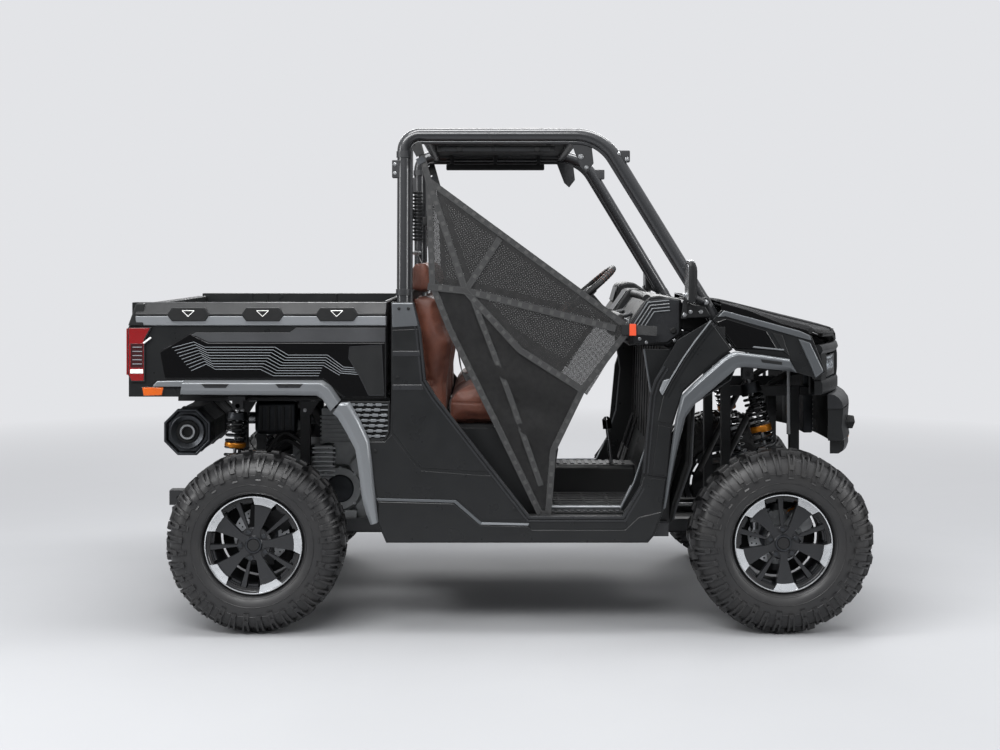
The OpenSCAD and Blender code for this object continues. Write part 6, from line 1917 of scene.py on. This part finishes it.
def belts():
    """Shoulder belts from the cage over the backs, with their guides and buckles."""
    form = Form()
    for side in SIDES:
        y = side * 0.545
        top, low = (BX + 70 * MM, side * 0.575, 1.60), (BX + 262 * MM, side * 0.30, 0.955)
        path = smooth_between([top, (BX + 96 * MM, y, 1.43), (BX + 190 * MM, side * 0.50, 1.30),
                               (BX + 236 * MM, side * 0.43, 1.12), low,
                               (BX + 300 * MM, side * 0.215, 0.925)], 6)
        form.strip(path, 46 * MM, (0.93, 0, 0.36), 1.4 * MM, M["belt"])
        form.block((BX + 58 * MM, side * 0.575 - 30 * MM, 1.585),
                   (BX + 78 * MM, side * 0.575 + 30 * MM, 1.625), M["trim"], 0.004)
        form.block((BX + 290 * MM, side * 0.205 - 14 * MM, 0.905),
                   (BX + 340 * MM, side * 0.205 + 14 * MM, 0.955), M["trim"], 0.005)
        form.block((BX + 296 * MM, side * 0.205 - 9 * MM, 0.954),
                   (BX + 316 * MM, side * 0.205 + 9 * MM, 0.958), M["buckle"], 0.001)
        # Ridged sleeve round the belt behind the pillar
        for k in range(14):
            z = 1.505 + k * 14 * MM
            form.ring([(13 * MM, -5 * MM), (19 * MM, -3 * MM), (19 * MM, 3 * MM), (13 * MM, 5 * MM)],
                      (BX + 92 * MM, side * 0.585, z), (0, 0, 1), M["deep"], 20)
    piece("seat_belts", form, "chassis")


def mirrors():
    form = Form()
    x, y, z = FX + 74 * MM, -0.745, 1.340
    shell = [(-45, -77), (30, -77), (52, -60), (52, 60), (35, 79), (-45, 79), (-58, 60), (-58, -60)]
    sections = []
    for ahead, scale in ((0, 0.94), (4, 0.985), (14, 1.0), (26, 0.94), (34, 0.72)):
        sections.append([(x + ahead * MM, y + a * scale * MM, z + b * scale * MM) for a, b in shell])
    form.loft(sections, M["trim"])
    form.prism([(x - 0.5 * MM, y + a * 0.86 * MM, z + b * 0.88 * MM) for a, b in shell], (-1.5 * MM, 0, 0),
               M["machined"])
    arm_z = 1.262
    pillar = FX + 152 * MM
    form.tube([(pillar, -cage_y(arm_z) - 26 * MM, arm_z), (pillar, -0.708, arm_z),
               (x + 26 * MM, -0.735, 1.285), (x + 20 * MM, -0.740, 1.300)], 10 * MM, M["frame"], 16)
    form.disc((pillar, -cage_y(arm_z) - 25 * MM, arm_z), (0, -1, 0), 20 * MM, 12 * MM, M["frame"], 24, 0.003)
    form.bolt((pillar, -0.716, arm_z), (0, -1, 0), 7 * MM)
    # Bright metal cap on the mirror's top, a painted highlight, and the mirror's post down to the cowl's side
    form.block((x + 2 * MM, y - 22 * MM, z + 77 * MM), (x + 26 * MM, y + 22 * MM, z + 84 * MM),
               M["machined"], 0.003)
    form.slab([(x - 20 * MM, 1.200), (x + 2 * MM, 1.200), (x + 8 * MM, 1.300), (x - 6 * MM, 1.300)], -0.724,
              -0.716, M["trim"], 0.002)
    for post_z in (1.214, 1.290):
        form.bolt((x - 6 * MM, -0.724, post_z), (0, -1, 0), 6 * MM)
    form.mirrored()
    piece("mirror_shells", form, "chassis", ["mirrors"])


def cowl():
    """The panel between the dashboard and the hood, with slots for air and the hood's hinge lugs."""
    form = Form()
    x0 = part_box("cowl")[0].x
    form.slab([(x0, 1.152), (x0, 1.263), (FX + 110 * MM, 1.262), (FX + 180 * MM, 1.245),
               (FX + 180 * MM, 1.152)], -0.600, 0.600,
              M["trim"], 0.005, 3)
    for k in range(-9, 10):
        y = k * 55 * MM
        form.prism([(FX + 108 * MM, y - 20 * MM, 1.2625), (FX + 108 * MM, y + 20 * MM, 1.2625),
                    (FX + 166 * MM, y + 20 * MM, 1.2488), (FX + 166 * MM, y - 20 * MM, 1.2488)],
                   (0.0006, 0, 0.0025), M["fine"], 0.001)
    for side in SIDES:
        a, b = sorted((side * 0.336, side * 0.320))
        form.block((FX + 179 * MM, a, 1.2385), (FX + 196 * MM, b, 1.248), M["frame"], 0.001)
        form.ring([(5.1 * MM, -8 * MM), (7.5 * MM, -8 * MM), (7.5 * MM, 8 * MM), (5.1 * MM, 8 * MM)],
                  (FX + 196 * MM, side * 0.328, 1.246), (0, 1, 0), M["frame"], 24)
        # Cap beside the pillar with its hinge hardware
        a, b = sorted((side * 0.602, side * 0.716))
        form.slab(at(FX, [(70, 1200), (70, 1262), (150, 1246), (176, 1204)]), a, b, M["trim"], 0.006, 3)
        for x in (92, 132):
            form.bolt((FX + x * MM, side * 0.716, 1.226), (0, side, 0), 6 * MM)
    piece("cowl_panel", form, "chassis", ["cowl"])


# Bed, underside and running gear


def bed():
    """Ribbed floor and walls of the bed, with its tie down rings."""
    form = Form()
    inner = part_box("bed_tub")[1].y - 55 * MM
    z = 0.952
    for i in range(13):
        y = (-6 + i) * 0.097
        form.block((BED_BACK + 60 * MM, y - 24 * MM, z - 0.5 * MM),
                   (BED_FRONT - 44 * MM, y + 24 * MM, z + 2.5 * MM), M["panel"], 0.002)
    for i in range(9):
        y = (-4 + i) * 0.14
        form.block((BED_FRONT - 24 * MM, y - 50 * MM, z + 50 * MM),
                   (BED_FRONT - 19.5 * MM, y + 50 * MM, BED_RAIL_Z - 60 * MM), M["panel"], 0.003)
    # Rolled edge along the front wall
    form.tube([(BED_FRONT - 10 * MM, -0.64, BED_RAIL_Z - 6 * MM),
               (BED_FRONT - 10 * MM, 0.64, BED_RAIL_Z - 6 * MM)], 11 * MM,
              M["trim"], 12)
    for side in SIDES:
        for k in range(6):
            x = BED_BACK + (70 + k * 150) * MM
            a, b = sorted((side * inner, side * (inner - 2.5 * MM)))
            form.block((x, a, z + 40 * MM), (x + 110 * MM, b, BED_RAIL_Z - 50 * MM), M["panel"], 0.002)
        for x in (120, 860):
            spot = (BED_BACK + x * MM, side * (inner - 4 * MM), z + 60 * MM)
            form.ring([(13 * MM, -3 * MM), (19 * MM, -3 * MM), (19 * MM, 3 * MM), (13 * MM, 3 * MM)], spot,
                      (0, 1, 0), M["steel"], 28)
    piece("bed_lining", form, "bed")
    gate = Form()
    low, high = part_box("tailgate")
    gate.block((low.x, low.y, 0.929), (high.x, high.y, high.z), M["panel"], 0.006)
    for side in SIDES:
        a, b = sorted((side * 0.075, side * 0.560))
        gate.block((low.x - 4 * MM, a, 1.002), (low.x + 2 * MM, b, 1.148), M["trim"], 0.008)
        a, b = sorted((side * 0.095, side * 0.540))
        gate.block((low.x - 6.5 * MM, a, 1.030), (low.x - 3 * MM, b, 1.120), M["panel"], 0.008)
    gate.block((low.x - 3 * MM, -0.620, 1.222), (low.x + 20 * MM, 0.620, high.z + 1 * MM), M["trim"], 0.008)
    gate.block((low.x - 6 * MM, -0.098, 1.172), (low.x + 4 * MM, 0.098, 1.218), M["fine"], 0.006)
    gate.block((low.x - 8 * MM, -0.070, 1.186), (low.x - 5 * MM, 0.070, 1.202), M["gloss"], 0.003)
    for side in SIDES:
        for z in (0.960, 1.190):
            gate.bolt((low.x - 2 * MM, side * 0.610, z), (-1, 0, 0), 5 * MM)
        a, b = sorted((side * 0.4995, side * 0.480))
        gate.block((low.x, a, 0.910), (low.x + 22 * MM, b, 0.941), M["frame"], 0.001)
        gate.tube([(low.x + 12 * MM, side * 0.519, 0.926), (low.x + 12 * MM, side * 0.481, 0.926)], 6 * MM,
                  M["steel"], 16)
    piece("tailgate_panel", gate, "tailgate", ["tailgate"])


def exhaust():
    """The muffler lies across behind the axle; its can has eight sides and a stepped end."""
    form = Form()
    x, z = AX_R - 320 * MM, 0.732
    turn = math.radians(22.5)
    def octagon(radius, y):
        return [(x + radius * math.cos(turn + k * math.tau / 8) * MM, y,
                 z + radius * math.sin(turn + k * math.tau / 8) * MM)
                for k in range(8)]
    form.loft([octagon(r, y) for r, y in ((84, 0.15), (97, 0.144), (97, -0.436), (101, -0.438),
                                          (101, -0.449), (92, -0.4505),
                                          (85, -0.442), (84, -0.436))], M["dark_metal"], 0.003)
    form.ring([(46 * MM, 0.436), (60 * MM, 0.446), (66 * MM, 0.449), (70 * MM, 0.446), (72 * MM, 0.437)],
              (x, 0, z), (0, -1, 0), M["dark_metal"], 56, closed=False)
    form.disc((x, -0.436, z), (0, -1, 0), 46 * MM, 3 * MM, M["deep"], 48, 0.001)
    form.ring([(20 * MM, 0.438), (23 * MM, 0.446), (30 * MM, 0.446), (33 * MM, 0.438)], (x, 0, z),
              (0, -1, 0), M["steel"], 40)
    for y in (-0.34, -0.10, 0.08):
        form.loft([octagon(r, y + dy) for r, dy in ((97.5, -0.010), (100, -0.009), (100, 0.009),
                                                    (97.5, 0.010))], M["frame"])
    path = smooth_between([(x, 0.06, z), (x + 90 * MM, 0.06, z), (x + 190 * MM, 0.06, z),
                           (BX - 335 * MM, 0.06, z)], 3)
    form.tube(path, 26 * MM, M["steel"], 24)
    piece("muffler_can", form, "chassis", ["muffler"])


def engine_bay():
    """Casings, a coil of hose and pipes on and around the plain engine block."""
    form = Form()
    low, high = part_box("engine")
    x0, x1 = low.x, high.x
    # Cylinder head with fins, covers with bolts, belt case on the right side
    for k in range(7):
        z = 0.655 + k * 18 * MM
        form.block((x0 - 7 * MM, -0.206, z), (x1 + 7 * MM, 0.206, z + 8 * MM), M["cast"], 0.002)
    form.disc((x0 + 80 * MM, -0.199, 0.470), (0, -1, 0), 98 * MM, 34 * MM, M["cast"], 48, 0.012)
    form.disc((x0 + 80 * MM, -0.232, 0.470), (0, -1, 0), 58 * MM, 10 * MM, M["dark_metal"], 40, 0.006)
    form.disc((x0 + 178 * MM, -0.199, 0.560), (0, -1, 0), 60 * MM, 30 * MM, M["cast"], 40, 0.01)
    for k in range(8):
        t = k * math.tau / 8
        spot = (x0 + 80 * MM + 86 * MM * math.cos(t), -0.233, 0.470 + 86 * MM * math.sin(t))
        form.bolt(spot, (0, -1, 0), 5 * MM)
    form.block((x0 + 20 * MM, -0.190, 0.796), (x1 - 20 * MM, 0.190, 0.815), M["dark_metal"], 0.008)
    # Air box, intake pipe, coolant hoses
    form.block((AX_R - 90 * MM, -0.205, 0.690), (AX_R + 90 * MM, 0.120, 0.832), M["dark_metal"], 0.022, 4)
    for k in range(5):
        x = AX_R + (-62 + k * 31) * MM
        form.block((x - 6 * MM, -0.211, 0.712), (x + 6 * MM, -0.204, 0.812), M["frame"], 0.002)
    for k in range(7):
        z = 0.520 + k * 19 * MM
        form.block((x0 - 36 * MM, -0.238, z), (x0 + 60 * MM, -0.196, z + 8 * MM), M["steel"], 0.002)
    form.block((x0 - 28 * MM, -0.232, 0.512), (x0 + 52 * MM, -0.198, 0.650), M["cast"], 0.006)
    form.tube(smooth_between([(AX_R + 80 * MM, -0.12, 0.760), (AX_R + 150 * MM, -0.150, 0.790),
                              (AX_R + 190 * MM, -0.150, 0.740),
                              (x0 + 40 * MM, -0.150, 0.700)], 6), 24 * MM, M["rubber"], 20)
    for y, z in ((-0.222, 0.640), (-0.214, 0.610)):
        form.tube(smooth_between([(AX_R - 60 * MM, y, z - 0.05), (AX_R + 40 * MM, y, z + 0.06),
                                  (AX_R + 150 * MM, y, z),
                                  (x0 + 60 * MM, -0.190, z + 0.02)], 6), 9 * MM, M["rubber"], 12)
    # Gear case fins and covers behind the block
    for k in range(6):
        z = 0.44 + k * 30 * MM
        form.block((AX_R + 66 * MM, -0.128, z), (x0 - 4 * MM, 0.128, z + 9 * MM), M["cast"], 0.002)
    form.disc((AX_R + 120 * MM, -0.118, 0.56), (0, -1, 0), 60 * MM, 18 * MM, M["cast"], 36, 0.006)
    for x, z, r in ((AX_R, 0.393, 84), (AX_F, 0.380, 66)):
        for y in (-0.088, -0.045, 0.045, 0.088):
            form.ring([(r * 0.8 * MM, -4 * MM), (r * MM, -3 * MM), (r * MM, 3 * MM), (r * 0.8 * MM, 4 * MM)],
                      (x, y, z), (0, 1, 0), M["cast"], 32)
    # Rubber boots of the axle shafts, in folds
    for x, z, inner, outer in ((AX_R, 0.393, 0.150, 0.44), (AX_F, 0.380, 0.150, 0.50)):
        for side in SIDES:
            for base, way in ((inner, 1), (outer, -1)):
                for k in range(5):
                    form.ring([(14 * MM, -6 * MM), ((37 - k * 3.5) * MM, 0), (14 * MM, 6 * MM)],
                              (x, side * (base + way * k * 11 * MM),
                               z - (base + way * k * 0.011 - 0.09) * 0.09), (0, 1, 0),
                              M["rubber"], 24)
    piece("engine_details", form, "chassis")


def front_bay():
    """What shows behind the front wheels: radiator, coolant hoses, brake lines and the liners' edges."""
    form = Form()
    form.block((FRONT_X - 190 * MM, -0.215, 0.700), (FRONT_X - 150 * MM, 0.215, 1.020), M["dark_metal"],
               0.006)
    for k in range(15):
        z = 0.715 + k * 20 * MM
        form.block((FRONT_X - 149.6 * MM, -0.205, z), (FRONT_X - 146 * MM, 0.205, z + 6 * MM), M["steel"],
                   0.0)
    for side in SIDES:
        form.tube(smooth_between([(FRONT_X - 180 * MM, side * 0.18, 0.96),
                                  (AX_F + 120 * MM, side * 0.20, 0.94),
                                  (AX_F + 20 * MM, side * 0.205, 0.86), (AX_F - 60 * MM, side * 0.205, 0.72),
                                  (AX_F - 180 * MM, side * 0.20, 0.48)], 6), 14 * MM, M["rubber"], 16)
        # Headlamp's bracket and the bumper's post, light against the dark
        form.block((AX_F + 118 * MM, side * 0.262 - 6 * MM, 0.70),
                   (AX_F + 132 * MM, side * 0.262 + 6 * MM, 0.985), M["steel"], 0.002)
        # Outer lip of the wheelhouse
        lip = at(FX, [(25, 430), (38, 482), (70, 572), (94, 642), (106, 876), (242, 966), (264, 1014),
                      (458, 1033)])
        form.tube([(x, side * 0.7215, z) for x, z in lip], 4 * MM, M["fine"], 8)
    piece("front_bay_parts", form, "chassis")


def bolts_and_brackets():
    """Bolts through the arms' bushes, gussets on the frame and hoses along it."""
    form = Form()
    for side in SIDES:
        for x, y, z in ((AX_F, 0.285, 0.328), (AX_F, 0.276, 0.510), (AX_R, 0.285, 0.328),
                        (AX_R, 0.276, 0.533)):
            wide = 150 * MM if x == AX_F else 160 * MM
            for way in (-1, 1):
                form.bolt((x + way * (wide + 26 * MM), side * y, z), (way, 0, 0), 8 * MM)
        for x in (AX_R - 130 * MM, AX_R + 130 * MM, BX - 60 * MM):
            gusset = [(x - 20 * MM, 0.838), (x + 60 * MM, 0.838), (x + 20 * MM, 0.776), (x - 20 * MM, 0.776)]
            form.slab(gusset, *sorted((side * 0.2606, side * 0.2646)), M["frame"], 0.001)
            form.bolt((x, side * 0.2646, 0.80), (0, side, 0), 6 * MM)
        form.tube(smooth_between([(BX - 40 * MM, side * 0.262, 0.856), (AX_R, side * 0.270, 0.853),
                                  (AX_R - 300 * MM, side * 0.262, 0.856)], 6), 5 * MM, M["rubber"], 10)
    piece("chassis_bolts", form, "chassis")


def finishes():
    dress(M["frame"], "frame", "front_arms", "rear_arms", "rack_housing")
    dress(M["cage"], "cage_cross_tubes")
    dress(M["deep"], "skid_plate", "roof_panel", "wheelhouse_liners")
    dress(M["cast"], "engine", "drivetrain", "knuckle_right", "knuckle_left")
    dress(M["steel"], "steering_rack")
    dress(M["panel"], "cabin_tub", "bed_tub")
    dress(M["trim"], "seat_base", "steering_column")


camera()
stage()
wheels()
calipers()
side_panels()
side_vents()
arch_flares()
fenders()
quarter_panels()
bed_sides()
bed_gloss_panels()
bed_flares()
tail_lamps()
hood()
fascia()
headlamps()
bumper()
doors_nets()
seats()
shocks()
cage()
roof()
cabin()
dash()
steering()
belts()
mirrors()
cowl()
bed()
exhaust()
engine_bay()
front_bay()
bolts_and_brackets()
finishes()
